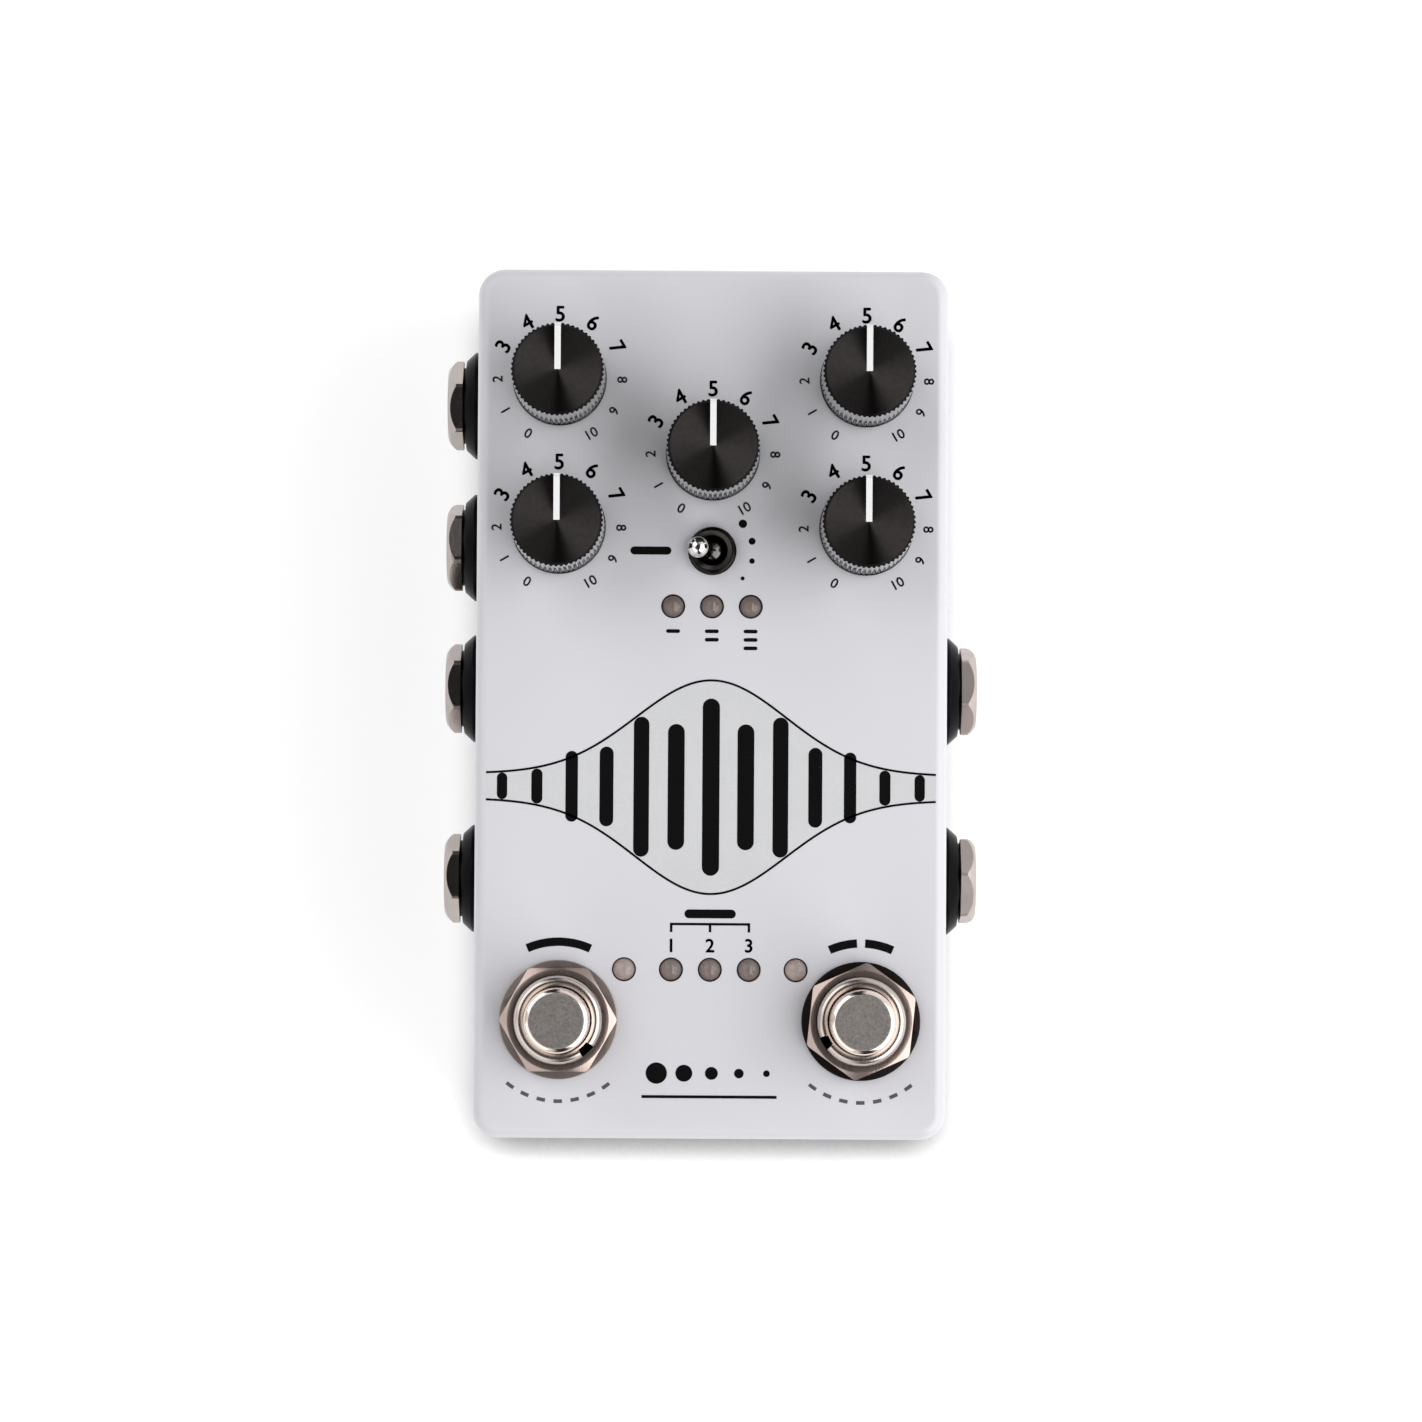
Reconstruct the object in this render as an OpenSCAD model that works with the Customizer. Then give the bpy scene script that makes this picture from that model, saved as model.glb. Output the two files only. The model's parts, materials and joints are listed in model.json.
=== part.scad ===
/* [Box] */
// Width of the box across its foot
box_w = 66; // [66:0.5:74]
// Length of the box along its foot
box_l = 120.4; // [120:0.1:130]
// Height of the box above its cover
box_h = 37; // [36.5:0.5:44]
// How far each side wall leans in from foot to top
draft = 0.8; // [0.4:0.1:1]
// Corner radius of the box at its foot
corner_r = 4.4; // [4:0.1:6]
// Radius of the rounded top edge
edge_r = 1.7; // [0.8:0.1:2]
// Thickness of the side walls
wall = 2.2; // [1.8:0.1:2.4]
// Thickness of the top panel
panel_t = 2.4; // [1.8:0.1:2.8]
// Corner radius inside the box, at its foot
cavity_r = 2.6; // [2.2:0.1:3.5]
// Radius of the rounded edge under the top panel
cavity_edge_r = 0.8; // [0.4:0.1:1.2]
// Radius of the four screw bosses
boss_r = 4; // [3.4:0.1:4.4]
// Distance of a boss axis from the two nearest sides
boss_in = 4.6; // [4.2:0.1:5.4]

/* [Cover and feet] */
// Thickness of the bottom cover
cover_t = 2.2; // [2:0.1:3]
// Height of the locating ribs on the cover
rib_h = 1.6; // [1:0.1:2.5]
// Thickness of the locating ribs
rib_t = 1.4; // [1:0.1:2]
// Shank diameter of a cover screw
cover_screw_d = 3; // [2.6:0.1:3.4]
// Head diameter of a cover screw
cover_head_d = 6.4; // [5.6:0.1:7]
// Height of the countersunk head
cover_head_h = 1.8; // [1.4:0.1:1.9]
// Length of each bar of the cross recess
cross_l = 3.2; // [2.4:0.1:4]
// Width of each bar of the cross recess
cross_w = 0.6; // [0.5:0.1:0.9]
// Depth of the cross recess
cross_depth = 0.9; // [0.6:0.1:1.2]
// How far a cover screw reaches into its boss
cover_screw_reach = 8; // [5:0.5:12]
// Height of a rubber foot
foot_h = 2; // [1:0.1:4]
// Diameter of a rubber foot
foot_d = 10; // [7:0.5:12]
// Distance of a foot axis from the two nearest sides
foot_in = 13; // [12.5:0.1:16]

/* [Knobs] */
// Distance of the outer knobs from the nearest side
knob_in = 12; // [11.5:0.1:12.5]
// Distance of the rear knob row from the rear side
rear_knob_row = 16; // [15:0.1:17]
// Distance of the front knob row from the rear side
front_knob_row = 36.3; // [35.5:0.1:37]
// Diameter over the knurl
knob_d = 12.6; // [12:0.1:13.4]
// Height of a knob
knob_h = 13.6; // [12.5:0.1:16]
// Gap between a knob and the panel
knob_gap = 0.6; // [0.4:0.1:1.2]
// Number of knurl teeth
knurl_teeth = 56; // [40:2:64]
// Depth of the knurl
knurl_depth = 0.35; // [0.2:0.05:0.5]
// Diameter of the smooth ring under the knurl
knob_ring_d = 12.9; // [12.8:0.1:13.6]
// Height of the smooth ring under the knurl
knob_ring_h = 0.7; // [0.4:0.1:1.2]
// Diameter of the plain top above the knurl
knob_top_d = 11.7; // [11:0.1:11.8]
// Height of the bevel round the knob top
knob_bevel_h = 0.5; // [0.3:0.1:0.9]
// Width of the bevel round the knob top
knob_bevel_w = 0.45; // [0.3:0.05:0.8]
// Width of the pointer slot
pointer_w = 0.9; // [0.6:0.1:1.2]
// Depth of the pointer slot
pointer_depth = 0.3; // [0.2:0.1:0.6]
// Diameter of a knob set screw
set_screw_d = 3; // [2.5:0.1:3]
// Distance across the flats of its socket
socket_flats = 1.5; // [1.2:0.1:1.8]
// Depth of its socket
socket_depth = 1.5; // [1:0.1:2]
// Height of the set screw above the foot of the knob
set_screw_z = 4.6; // [3:0.1:6]

/* [Pots] */
// Shaft diameter of a pot
shaft_d = 6; // [5.5:0.1:6.2]
// Depth of the flat on the shaft
shaft_flat = 1.5; // [1:0.1:2]
// Length of shaft inside the knob
shaft_grip = 10; // [8:0.1:10.5]
// Width of a pot
pot_w = 9.8; // [9.6:0.1:11]
// Length of a pot
pot_l = 11; // [10:0.1:12]
// Height of a pot above the board
pot_h = 6.8; // [6:0.1:7.5]
// Thickness of the wafer under a pot
wafer_t = 1.2; // [0.8:0.1:1.6]
// Diameter of the collar round the shaft
pot_collar_d = 7; // [6.8:0.1:7.6]
// How far the collar stops below the panel face
pot_collar_drop = 0.2; // [0.1:0.1:1]
// Diameter of the rotor on the shaft
rotor_d = 8; // [7.4:0.1:8.4]
// Thickness of the rotor
rotor_t = 1.2; // [0.8:0.1:1.6]

/* [Toggle] */
// Distance of the toggle from the rear side
toggle_row = 39.4; // [39:0.1:41]
// Diameter of the toggle bushing
toggle_bush_d = 6.34; // [6:0.02:7]
// How far the bushing stands above the panel
toggle_bush_top = 1.5; // [0.8:0.1:2.5]
// Bore of the toggle bushing
toggle_bore_d = 4.7; // [4.6:0.1:5]
// Height of the lip that closes the bore
toggle_lip_h = 0.6; // [0.4:0.1:1]
// Bore of the lip
toggle_lip_d = 4.1; // [4.1:0.1:4.5]
// Length of the toggle housing
toggle_l = 12.7; // [12:0.1:14]
// Width of the toggle housing
toggle_w = 6.8; // [6.8:0.1:7.6]
// Height of the toggle, from the board to the top of its frame
toggle_h = 8.9; // [8.5:0.1:9.1]
// Thickness of the frame plate under the bushing
toggle_plate_t = 0.8; // [0.6:0.1:1]
// Wall of the toggle housing
toggle_wall = 1.1; // [0.8:0.1:1.3]
// Diameter of the ball that the lever turns on
toggle_ball_d = 4.4; // [4.2:0.1:4.5]
// How far that ball sinks into the frame plate
toggle_ball_sink = 0.5; // [0.3:0.1:0.8]
// Length of the lever from its pivot to the centre of its tip
lever_len = 9; // [8:0.1:11]
// Diameter of the lever tip
lever_tip_d = 2.85; // [2.4:0.05:2.9]
// Diameter of the lever where it leaves the ball
lever_neck_d = 1.9; // [1.6:0.1:2]
// Diameter of the stem under the ball
lever_stem_d = 1.6; // [1.2:0.1:1.8]
// Tilt of the lever to each side
lever_tilt = 12.5; // [10:0.5:12.5]
// Tilt of the rocking contact to each side
rocker_tilt = 8; // [5:0.5:9]
// Length of the rocking contact
rocker_l = 8; // [7:0.1:8.6]
// Thickness of the rocking contact
rocker_t = 0.7; // [0.5:0.1:1]
// Height of the rocking contact above the board
rocker_z = 3.7; // [3.4:0.1:4]

/* [Lamps] */
// Distance of the rear lamp row from the rear side
rear_lamp_row = 47; // [46:0.1:49]
// Distance of the front lamp row from the front side
front_lamp_row = 23.8; // [23.4:0.1:24.2]
// Pitch of the lamps in the rear row
lamp_pitch = 5.3; // [4.6:0.1:5.5]
// Distance across the panel from the outermost lamps to the footswitches
outer_lamp_in = 8.9; // [8.9:0.1:9.5]
// How far the inner lamps of the front row stand inside the halfway line
inner_lamp_shift = 0.55; // [0.3:0.05:0.8]
// Diameter of a lamp lens
lamp_d = 3; // [2.8:0.1:3.2]
// Length of a lamp lens above its flange
lamp_len = 4.3; // [4:0.1:5]
// How far a lens stands above the panel
lamp_top = 0.7; // [0.2:0.1:1.5]
// Diameter of the flange under a lens
lamp_flange_d = 3.6; // [3.4:0.1:3.8]
// Thickness of that flange
lamp_flange_t = 1; // [0.6:0.1:1.4]
// Diameter of the spacer under a lamp
spacer_d = 3.6; // [3.6:0.1:4]
// Diameter of a lamp lead
lead_d = 0.5; // [0.4:0.05:0.6]
// Distance between the two leads of a lamp
lead_pitch = 2.54; // [2:0.02:2.6]

/* [Footswitches] */
// Distance of the footswitches from the nearest side
foot_switch_in = 12.4; // [11.4:0.1:12.4]
// Distance of the footswitches from the front side
foot_switch_row = 16.9; // [16.6:0.1:17.2]
// Thread diameter of the bushing
bush_d = 12; // [11.4:0.1:12.4]
// Bore of the bushing
bush_bore_d = 9.1; // [8.6:0.1:9.4]
// How far the bushing stands above the panel
bush_top = 5; // [4:0.1:7]
// Size of the bevel on the rim of the bushing
bush_bevel = 0.4; // [0.2:0.1:0.6]
// Width of the keyway in the bushing
keyway_w = 1.4; // [1:0.1:2]
// Depth of the keyway in the bushing
keyway_depth = 0.8; // [0.4:0.1:0.9]
// Distance across the flats of the nuts
nut_flats = 14; // [13.6:0.1:15]
// Diameter of the flat ring on top of the nut
nut_crown_d = 13.4; // [12.8:0.1:14]
// Thickness of the nut above the panel
nut_t = 2.4; // [1.8:0.1:2.6]
// Thickness of the nut under the panel
lock_nut_t = 2; // [1.6:0.1:2.4]
// Diameter of the washer
washer_d = 16.2; // [16:0.1:17.5]
// Thickness of the washer
washer_t = 0.8; // [0.5:0.1:1]
// Height of the button above the panel
button_top = 12.8; // [11:0.1:15]
// Radius of the rounded edge of the button
button_edge_r = 0.75; // [0.4:0.05:1.2]
// Travel of the button
button_travel = 2.2; // [1.5:0.1:2.6]
// Width of the footswitch housing
switch_w = 13; // [12.8:0.1:13.2]
// Height of the footswitch housing
switch_h = 12; // [11:0.1:13]
// Bore of the footswitch housing
switch_bore_d = 10.8; // [10.6:0.1:11]
// Floor thickness of the footswitch housing
switch_floor = 1.2; // [0.8:0.1:1.6]
// Thickness of the flange that stops the button
button_flange_t = 1.6; // [1.2:0.1:2]
// Mean diameter of the return spring
spring_d = 7.2; // [6.6:0.1:8]
// Wire diameter of the return spring
spring_wire = 0.8; // [0.5:0.05:0.85]
// Number of turns of the return spring
spring_turns = 5.5; // [4:0.5:5.5]

/* [Jacks] */
// Distance of the first jack row from the rear side
jack_row_1 = 17.7; // [17:0.1:18.5]
// Distance of the second jack row from the rear side
jack_row_2 = 37.7; // [37:0.1:38.5]
// Distance of the third jack row from the rear side
jack_row_3 = 57.5; // [56.8:0.1:60]
// Distance of the last jack row from the front side
front_jack_row = 36.3; // [35.5:0.1:37]
// Distance of the jack axes below the main board
jack_drop = 8.1; // [8.1:0.1:9]
// Plug bore of a jack
jack_bore_d = 6.4; // [6.3:0.05:6.6]
// Thread diameter of a jack nose
jack_nose_d = 9; // [8.6:0.1:9.4]
// How far the nose ends short of the nut face
jack_nose_short = 0.25; // [0.1:0.05:0.6]
// Width of a jack housing
jack_w = 14.2; // [13.6:0.1:15.5]
// Height of a jack housing
jack_h = 15; // [14:0.1:15]
// Depth of the plug bore, from the nut face
plug_reach = 32; // [31.5:0.1:33]
// Thickness of the wall behind the plug bore
jack_end_wall = 1.2; // [0.8:0.1:2]
// Distance of the sleeve contact from the front of the housing
sleeve_slot_in = 2; // [1.5:0.1:3]
// Length of the slot for the sleeve contact
sleeve_slot_l = 7; // [6:0.1:8]
// Distance of the tip contact from the front of the housing
tip_slot_in = 12; // [11.5:0.1:13]
// Length of the slot for the tip contact
tip_slot_l = 10; // [8:0.1:11]
// Width of a contact leaf
contact_w = 2.4; // [2:0.1:2.8]
// Thickness of a contact leaf
contact_t = 0.4; // [0.3:0.05:0.5]
// Height of the root of a leaf above its bend
contact_rise = 1.6; // [1:0.1:2]
// Height of the free end of a leaf above its bend
contact_lift = 1; // [0.6:0.1:1.5]
// Diameter of a jack collar at the wall
collar_d = 15; // [14:0.1:16]
// Diameter of a jack collar at its outer end
collar_tip_d = 12.6; // [12.4:0.1:13.4]
// Thickness of a jack collar
collar_t = 1.9; // [1.5:0.1:2.4]
// Height of the taper on a jack collar
collar_taper = 1.3; // [0.8:0.1:1.4]
// Diameter of the neck between collar and nut
neck_d = 10.7; // [10.4:0.1:11]
// Height of that neck
neck_t = 0.35; // [0.2:0.05:0.6]
// Distance across the flats of a jack nut
jack_nut_flats = 11; // [11:0.1:12]
// Thickness of a jack nut
jack_nut_t = 2.2; // [1.8:0.1:2.8]
// Diameter of the flat ring at the end of a jack nut
jack_crown_d = 9.4; // [9.2:0.1:10.4]
// Turn of a jack nut about its axis
jack_nut_turn = 9; // [0:1:59]

/* [Power socket] */
// Bore of the power socket
power_bore_d = 5.8; // [5.6:0.1:6.2]
// Depth of the power socket
power_bore_depth = 9.5; // [8.5:0.1:10.5]
// Diameter of its centre pin
power_pin_d = 2.1; // [1.8:0.1:2.5]
// How far the pin ends short of the mouth
power_pin_short = 1; // [0.5:0.1:2]
// Diameter of the nose in the rear wall
power_nose_d = 8.4; // [8:0.1:9]
// How far the nose ends short of the wall face
power_nose_short = 0.3; // [0.1:0.1:0.8]
// Width of the power socket
power_w = 9; // [8.8:0.1:9.4]
// Height of the power socket
power_h = 11; // [10:0.1:12]
// Depth of the power socket body
power_depth = 13; // [12.5:0.1:14]
// Distance of its terminals from the rear of its body
power_terminal_in = 2.5; // [1.5:0.1:4]
// Distance of the power socket from the middle line
power_x = 8; // [7:0.1:10]

/* [Boards] */
// Thickness of the boards
board_t = 1.6; // [1.2:0.1:2]
// Distance from the panel down to the main board
board_drop = 9.5; // [9.4:0.1:10]
// Gap between a board and the walls round it
board_gap = 0.8; // [0.6:0.1:1.5]
// How far the front tongue of the main board runs past its lamps
tongue_run = 4.9; // [4.7:0.1:5.2]
// Distance of the rear row of chips from the rear lamps
rear_chip_row = 11.2; // [10:0.1:12]
// Distance of the front row of chips from the rear lamps
front_chip_row = 28.2; // [26:0.1:30]
// Number of pins in the header between the boards
header_pins = 6; // [4:1:6]
// Pitch of those pins
header_pitch = 2.54; // [2:0.02:2.54]
// Width of the header
header_w = 2.4; // [2:0.1:2.5]
// Diameter of a solder terminal
terminal_d = 0.8; // [0.6:0.05:0.9]
// How far a terminal or lead stands out behind its board
solder_tail = 0.4; // [0.2:0.05:0.45]

/* [Clearances] */
// Radial gap of a turning shaft in its hole
run_gap = 0.05; // [0.03:0.01:0.1]
// Radial gap of a sliding button in its bushing
slide_gap = 0.1; // [0.05:0.01:0.15]
// Radial gap of a fixed piece in a panel hole
hole_gap = 0.15; // [0.05:0.05:0.25]
// Radial gap of a nut or screw on its thread
thread_gap = 0.05; // [0.03:0.01:0.1]
// Gap between neighbouring loose faces
face_gap = 0.3; // [0.2:0.05:0.35]
// Gap left between two faces that seat on each other
seat_gap = 0.02; // [0.01:0.01:0.05]
// Radial gap of a lead or terminal in its board hole
lead_gap = 0.15; // [0.1:0.05:0.2]

/* [Hidden] */
$fn = 72;
past = 1;
chamfer_angle = 30;

cover_z = foot_h;
box_z = cover_z + cover_t;
panel_z = box_z + box_h;
under_z = panel_z - panel_t;
lean = draft / box_h;
lean_angle = atan(lean);
function side_x(z) = box_w / 2 - lean * (z - box_z);
function rear_y(z) = box_l / 2 - lean * (z - box_z);
boss_at = [for (x = [-1, 1], y = [-1, 1]) [x * (box_w / 2 - boss_in), y * (box_l / 2 - boss_in)]];
foot_at = [for (x = [-1, 1], y = [-1, 1]) [x * (box_w / 2 - foot_in), y * (box_l / 2 - foot_in)]];

board_z = under_z - board_drop;
board_low = board_z - board_t;
board_w = box_w - 2 * (wall + draft + board_gap);
board_rear = box_l / 2 - boss_in - boss_r - board_gap;

dials = ["time", "blend", "feedback", "rate", "depth"];
knob_x = box_w / 2 - knob_in;
rear_knob_y = box_l / 2 - rear_knob_row;
front_knob_y = box_l / 2 - front_knob_row;
dial_at = [
    [-knob_x, rear_knob_y],
    [knob_x, rear_knob_y],
    [0, (rear_knob_y + front_knob_y) / 2],
    [-knob_x, front_knob_y],
    [knob_x, front_knob_y],
];
knob_z = panel_z + knob_gap;
shaft_top = knob_z + shaft_grip;
pot_top = board_z + pot_h;
rotor_z = board_z + wafer_t + face_gap;
pot_terminal_at = [for (i = [-1:1]) [i * pot_w / 4, -pot_l / 3]];

toggle_at = [0, box_l / 2 - toggle_row];
toggle_top = board_z + toggle_h;
plate_z = toggle_top - toggle_plate_t;
lever_z = toggle_top + toggle_ball_d / 2 - toggle_ball_sink;
rocker_at = board_z + rocker_z;
stem_len = lever_z - rocker_at - rocker_t / 2 - face_gap - lever_stem_d / 2;
toggle_terminal_at = [for (i = [-1:1]) [i * toggle_l / 3, 0]];

foot_switch_x = box_w / 2 - foot_switch_in;
rear_lamp_y = box_l / 2 - rear_lamp_row;
front_lamp_y = front_lamp_row - box_l / 2;
outer_lamp_x = foot_switch_x - outer_lamp_in;
inner_lamp_x = outer_lamp_x / 2 - inner_lamp_shift;
lamp_at = concat(
    [for (i = [-1:1]) [i * lamp_pitch, rear_lamp_y]],
    [for (x = [-outer_lamp_x, -inner_lamp_x, 0, inner_lamp_x, outer_lamp_x]) [x, front_lamp_y]]
);
flange_z = panel_z + lamp_top - lamp_len - lamp_flange_t;

switches = ["bypass", "tap"];
foot_switch_y = foot_switch_row - box_l / 2;
switch_at = [[-foot_switch_x, foot_switch_y], [foot_switch_x, foot_switch_y]];
keyway_angle = [-46, 210];
nut_angle = [0, 20];
switch_top = under_z - lock_nut_t;
switch_z = switch_top - switch_h;
spring_z = switch_z + switch_floor;
button_flange_z = switch_top - face_gap - button_flange_t;
button_r = bush_bore_d / 2 - slide_gap;
switch_terminal_at = [for (x = [-1, 1], y = [-1, 1]) [x * switch_w / 3, y * switch_w / 3]];

jack_z = board_low - jack_drop;
jack_y = [
    for (row = [jack_row_1, jack_row_2, jack_row_3]) box_l / 2 - row,
    front_jack_row - box_l / 2,
];
jacks = ["remote", "expression", "output_b", "output_a", "input_b", "input_a"];
jack_at = [
    [-1, jack_y[0]],
    [-1, jack_y[1]],
    [-1, jack_y[2]],
    [-1, jack_y[3]],
    [1, jack_y[2]],
    [1, jack_y[3]],
];
jack_front = -wall - face_gap - lean * jack_h / 2;
jack_stack = collar_t + neck_t + jack_nut_t;
jack_rear = jack_stack - plug_reach - jack_end_wall;
slot_w = contact_w + 2 * face_gap;
// Front end and length of the slots for the sleeve contact and the tip contact
contact_slots = [
    [jack_front - sleeve_slot_in, sleeve_slot_l],
    [jack_front - tip_slot_in, tip_slot_l],
];

power_z = board_low - power_h / 2;
power_front = -wall - face_gap - lean * power_h / 2;
power_terminal_y = rear_y(power_z) + power_front - power_depth + power_terminal_in;
power_terminal_at = [for (i = [-1:1]) [power_x + i * power_w / 4, power_terminal_y]];

tongue_w = 2 * (foot_switch_x - switch_w / 2 - face_gap);
tongue_front = front_lamp_y - tongue_run;
board_front = foot_switch_y + switch_w / 2 + face_gap;
switch_board_l = board_rear + foot_switch_y + switch_w / 2 + board_gap;
header_y = tongue_front + face_gap + header_w / 2;
header_l = header_pins * header_pitch;
header_at = [for (i = [0:header_pins - 1]) [(i - (header_pins - 1) / 2) * header_pitch, header_y]];
// Place and size of the chips on the main board
rear_chip_y = rear_lamp_y - rear_chip_row;
front_chip_y = rear_lamp_y - front_chip_row;
chips = [
    [[0, rear_chip_y], [12, 12, 1.4]],
    [[-11.5, rear_chip_y], [6, 8, 1.6]],
    [[11.5, rear_chip_y], [6, 8, 1.2]],
    [[-13, front_chip_y], [7, 7, 2.3]],
    [[13, front_chip_y], [5, 4, 1.6]],
    [[4, front_chip_y], [5, 4, 1.6]],
];

// Half section of a block from its corner axis outwards, with a leaning side and a rounded top edge
module edge_profile(r_foot, h, fillet, slope) {
    angle = atan(slope);
    centre = [r_foot - slope * (h - fillet) - fillet / cos(angle), h - fillet];
    polygon([
        [0, 0],
        [r_foot, 0],
        centre + fillet * [cos(angle), sin(angle)],
        centre,
        [centre.x, h],
        [0, h],
    ]);
    intersection() {
        translate(centre) circle(fillet);
        translate(centre) square(2 * fillet);
    }
}

// Block with leaning sides, round corners and a rounded top edge, standing on z = 0
module leaning_block(w, l, h, r_foot, fillet) {
    x = w / 2 - r_foot;
    y = l / 2 - r_foot;
    rotate([90, 0, 0]) translate([0, 0, -y]) linear_extrude(2 * y) {
        translate([-x, 0]) square([2 * x, h]);
        for (side = [0, 1]) mirror([side, 0]) translate([x, 0]) edge_profile(r_foot, h, fillet, lean);
    }
    for (side = [0, 1]) mirror([0, side, 0]) translate([-x, y, 0]) rotate([90, 0, 90])
        linear_extrude(2 * x) edge_profile(r_foot, h, fillet, lean);
    for (mx = [0, 1], my = [0, 1]) mirror([mx, 0, 0]) mirror([0, my, 0]) translate([x, y, 0])
        rotate_extrude(angle = 90) edge_profile(r_foot, h, fillet, lean);
}

module rounded_plate(w, l, r, t) {
    linear_extrude(t) {
        square([w - 2 * r, l], center = true);
        square([w, l - 2 * r], center = true);
        for (x = [-1, 1], y = [-1, 1]) translate([x * (w / 2 - r), y * (l / 2 - r)]) circle(r);
    }
}

module hex_prism(flats, h) {
    cylinder(d = flats / cos(30), h = h, $fn = 6);
}

// Upright cylinders at a list of places
module posts(places, d, z0, z1) {
    for (p = places) translate([p.x, p.y, z0]) cylinder(d = d, h = z1 - z0);
}

// Frame of one jack: x points out of the box along the plug axis, from the outer face of the wall
module at_jack(jack) {
    translate([jack[0] * side_x(jack_z), jack[1], jack_z]) mirror([jack[0] < 0 ? 1 : 0, 0, 0]) children();
}

module along_x(d, x0, x1) {
    translate([x0, 0, 0]) rotate([0, 90, 0]) cylinder(d = d, h = x1 - x0);
}

// Frame of the power socket: y points out of the box, from the outer face of the rear wall
module at_power() {
    translate([power_x, rear_y(power_z), power_z]) children();
}

module along_y(d, y0, y1) {
    translate([0, y0, 0]) rotate([-90, 0, 0]) cylinder(d = d, h = y1 - y0);
}

module enclosure_body() {
    color("gainsboro") difference() {
        translate([0, 0, box_z]) leaning_block(box_w, box_l, box_h, corner_r, edge_r);
        difference() {
            translate([0, 0, box_z])
                leaning_block(box_w - 2 * wall, box_l - 2 * wall, box_h - panel_t, cavity_r, cavity_edge_r);
            posts(boss_at, 2 * boss_r, box_z - past, panel_z);
        }
        posts(boss_at, cover_screw_d + 2 * thread_gap, box_z - past, box_z + cover_screw_reach + past);
        posts(dial_at, pot_collar_d + 2 * hole_gap, under_z - past, panel_z + past);
        posts([toggle_at], toggle_bush_d + 2 * hole_gap, under_z - past, panel_z + past);
        posts(lamp_at, lamp_d + 2 * hole_gap, under_z - past, panel_z + past);
        posts(switch_at, bush_d + 2 * hole_gap, under_z - past, panel_z + past);
        for (jack = jack_at) at_jack(jack) along_x(jack_nose_d + 2 * hole_gap, -wall - past, past);
        at_power() along_y(power_nose_d + 2 * hole_gap, -wall - past, past);
    }
}

module bottom_cover() {
    rib_x = box_w / 2 - wall - lean * rib_h - face_gap - rib_t;
    rib_y = box_l / 2 - wall - lean * rib_h - face_gap - rib_t;
    boss_run = boss_in + boss_r + face_gap;
    color("gainsboro") difference() {
        union() {
            translate([0, 0, cover_z]) rounded_plate(box_w, box_l, corner_r, cover_t);
            for (side = [0, 1]) mirror([side, 0, 0]) translate([rib_x, boss_run - box_l / 2, box_z])
                cube([rib_t, box_l - 2 * boss_run, rib_h]);
            for (side = [0, 1]) mirror([0, side, 0]) translate([boss_run - box_w / 2, rib_y, box_z])
                cube([box_w - 2 * boss_run, rib_t, rib_h]);
        }
        posts(boss_at, cover_screw_d + 2 * hole_gap, cover_z - past, box_z + past);
        for (p = boss_at) translate([p.x, p.y, cover_z])
            cylinder(d1 = cover_head_d + 2 * hole_gap, d2 = cover_screw_d + 2 * hole_gap, h = cover_head_h);
    }
}

module cover_screws() {
    color("silver") for (p = boss_at) translate([p.x, p.y, cover_z]) difference() {
        union() {
            cylinder(d1 = cover_head_d, d2 = cover_screw_d, h = cover_head_h);
            cylinder(d = cover_screw_d, h = cover_t + cover_screw_reach);
        }
        for (turn = [0, 90]) rotate(turn) translate([-cross_l / 2, -cross_w / 2, -past])
            cube([cross_l, cross_w, cross_depth + past]);
    }
}

module rubber_feet() {
    color("dimgray") posts(foot_at, foot_d, 0, cover_z);
}

module knob(p) {
    core_d = knob_d - 2 * knurl_depth;
    color([0.07, 0.07, 0.08]) translate([p.x, p.y, knob_z]) difference() {
        union() {
            cylinder(d = knob_ring_d, h = knob_ring_h);
            linear_extrude(knob_h - knob_bevel_h) polygon([
                for (i = [0:2 * knurl_teeth - 1])
                    let (r = (i % 2 == 0 ? knob_d : core_d) / 2, a = 180 * i / knurl_teeth)
                        [r * cos(a), r * sin(a)]
            ]);
            translate([0, 0, knob_h - knob_bevel_h])
                cylinder(d1 = knob_top_d, d2 = knob_top_d - 2 * knob_bevel_w, h = knob_bevel_h);
        }
        translate([0, 0, -past]) cylinder(d = shaft_d + 2 * run_gap, h = shaft_grip + face_gap + past);
        translate([-pointer_w / 2, 0, knob_h - pointer_depth])
            cube([pointer_w, knob_d, pointer_depth + past]);
        translate([0, 0, set_screw_z]) along_y(set_screw_d + 2 * thread_gap, 0, knob_d);
    }
}

module knob_screw(p) {
    tip = shaft_d / 2 - shaft_flat;
    end = knob_d / 2 - knurl_depth - face_gap;
    color("gray") translate([p.x, p.y, knob_z + set_screw_z]) difference() {
        along_y(set_screw_d, tip, end);
        translate([0, end - socket_depth, 0]) rotate([-90, 0, 0])
            hex_prism(socket_flats, socket_depth + past);
    }
}

module pot_shaft(p) {
    color("silver") translate([p.x, p.y, 0]) difference() {
        union() {
            translate([0, 0, rotor_z]) cylinder(d = shaft_d, h = shaft_top - rotor_z);
            translate([0, 0, rotor_z]) cylinder(d = rotor_d, h = rotor_t);
        }
        translate([-shaft_d, shaft_d / 2 - shaft_flat, knob_z])
            cube([2 * shaft_d, shaft_d, shaft_grip + past]);
    }
}

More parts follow.
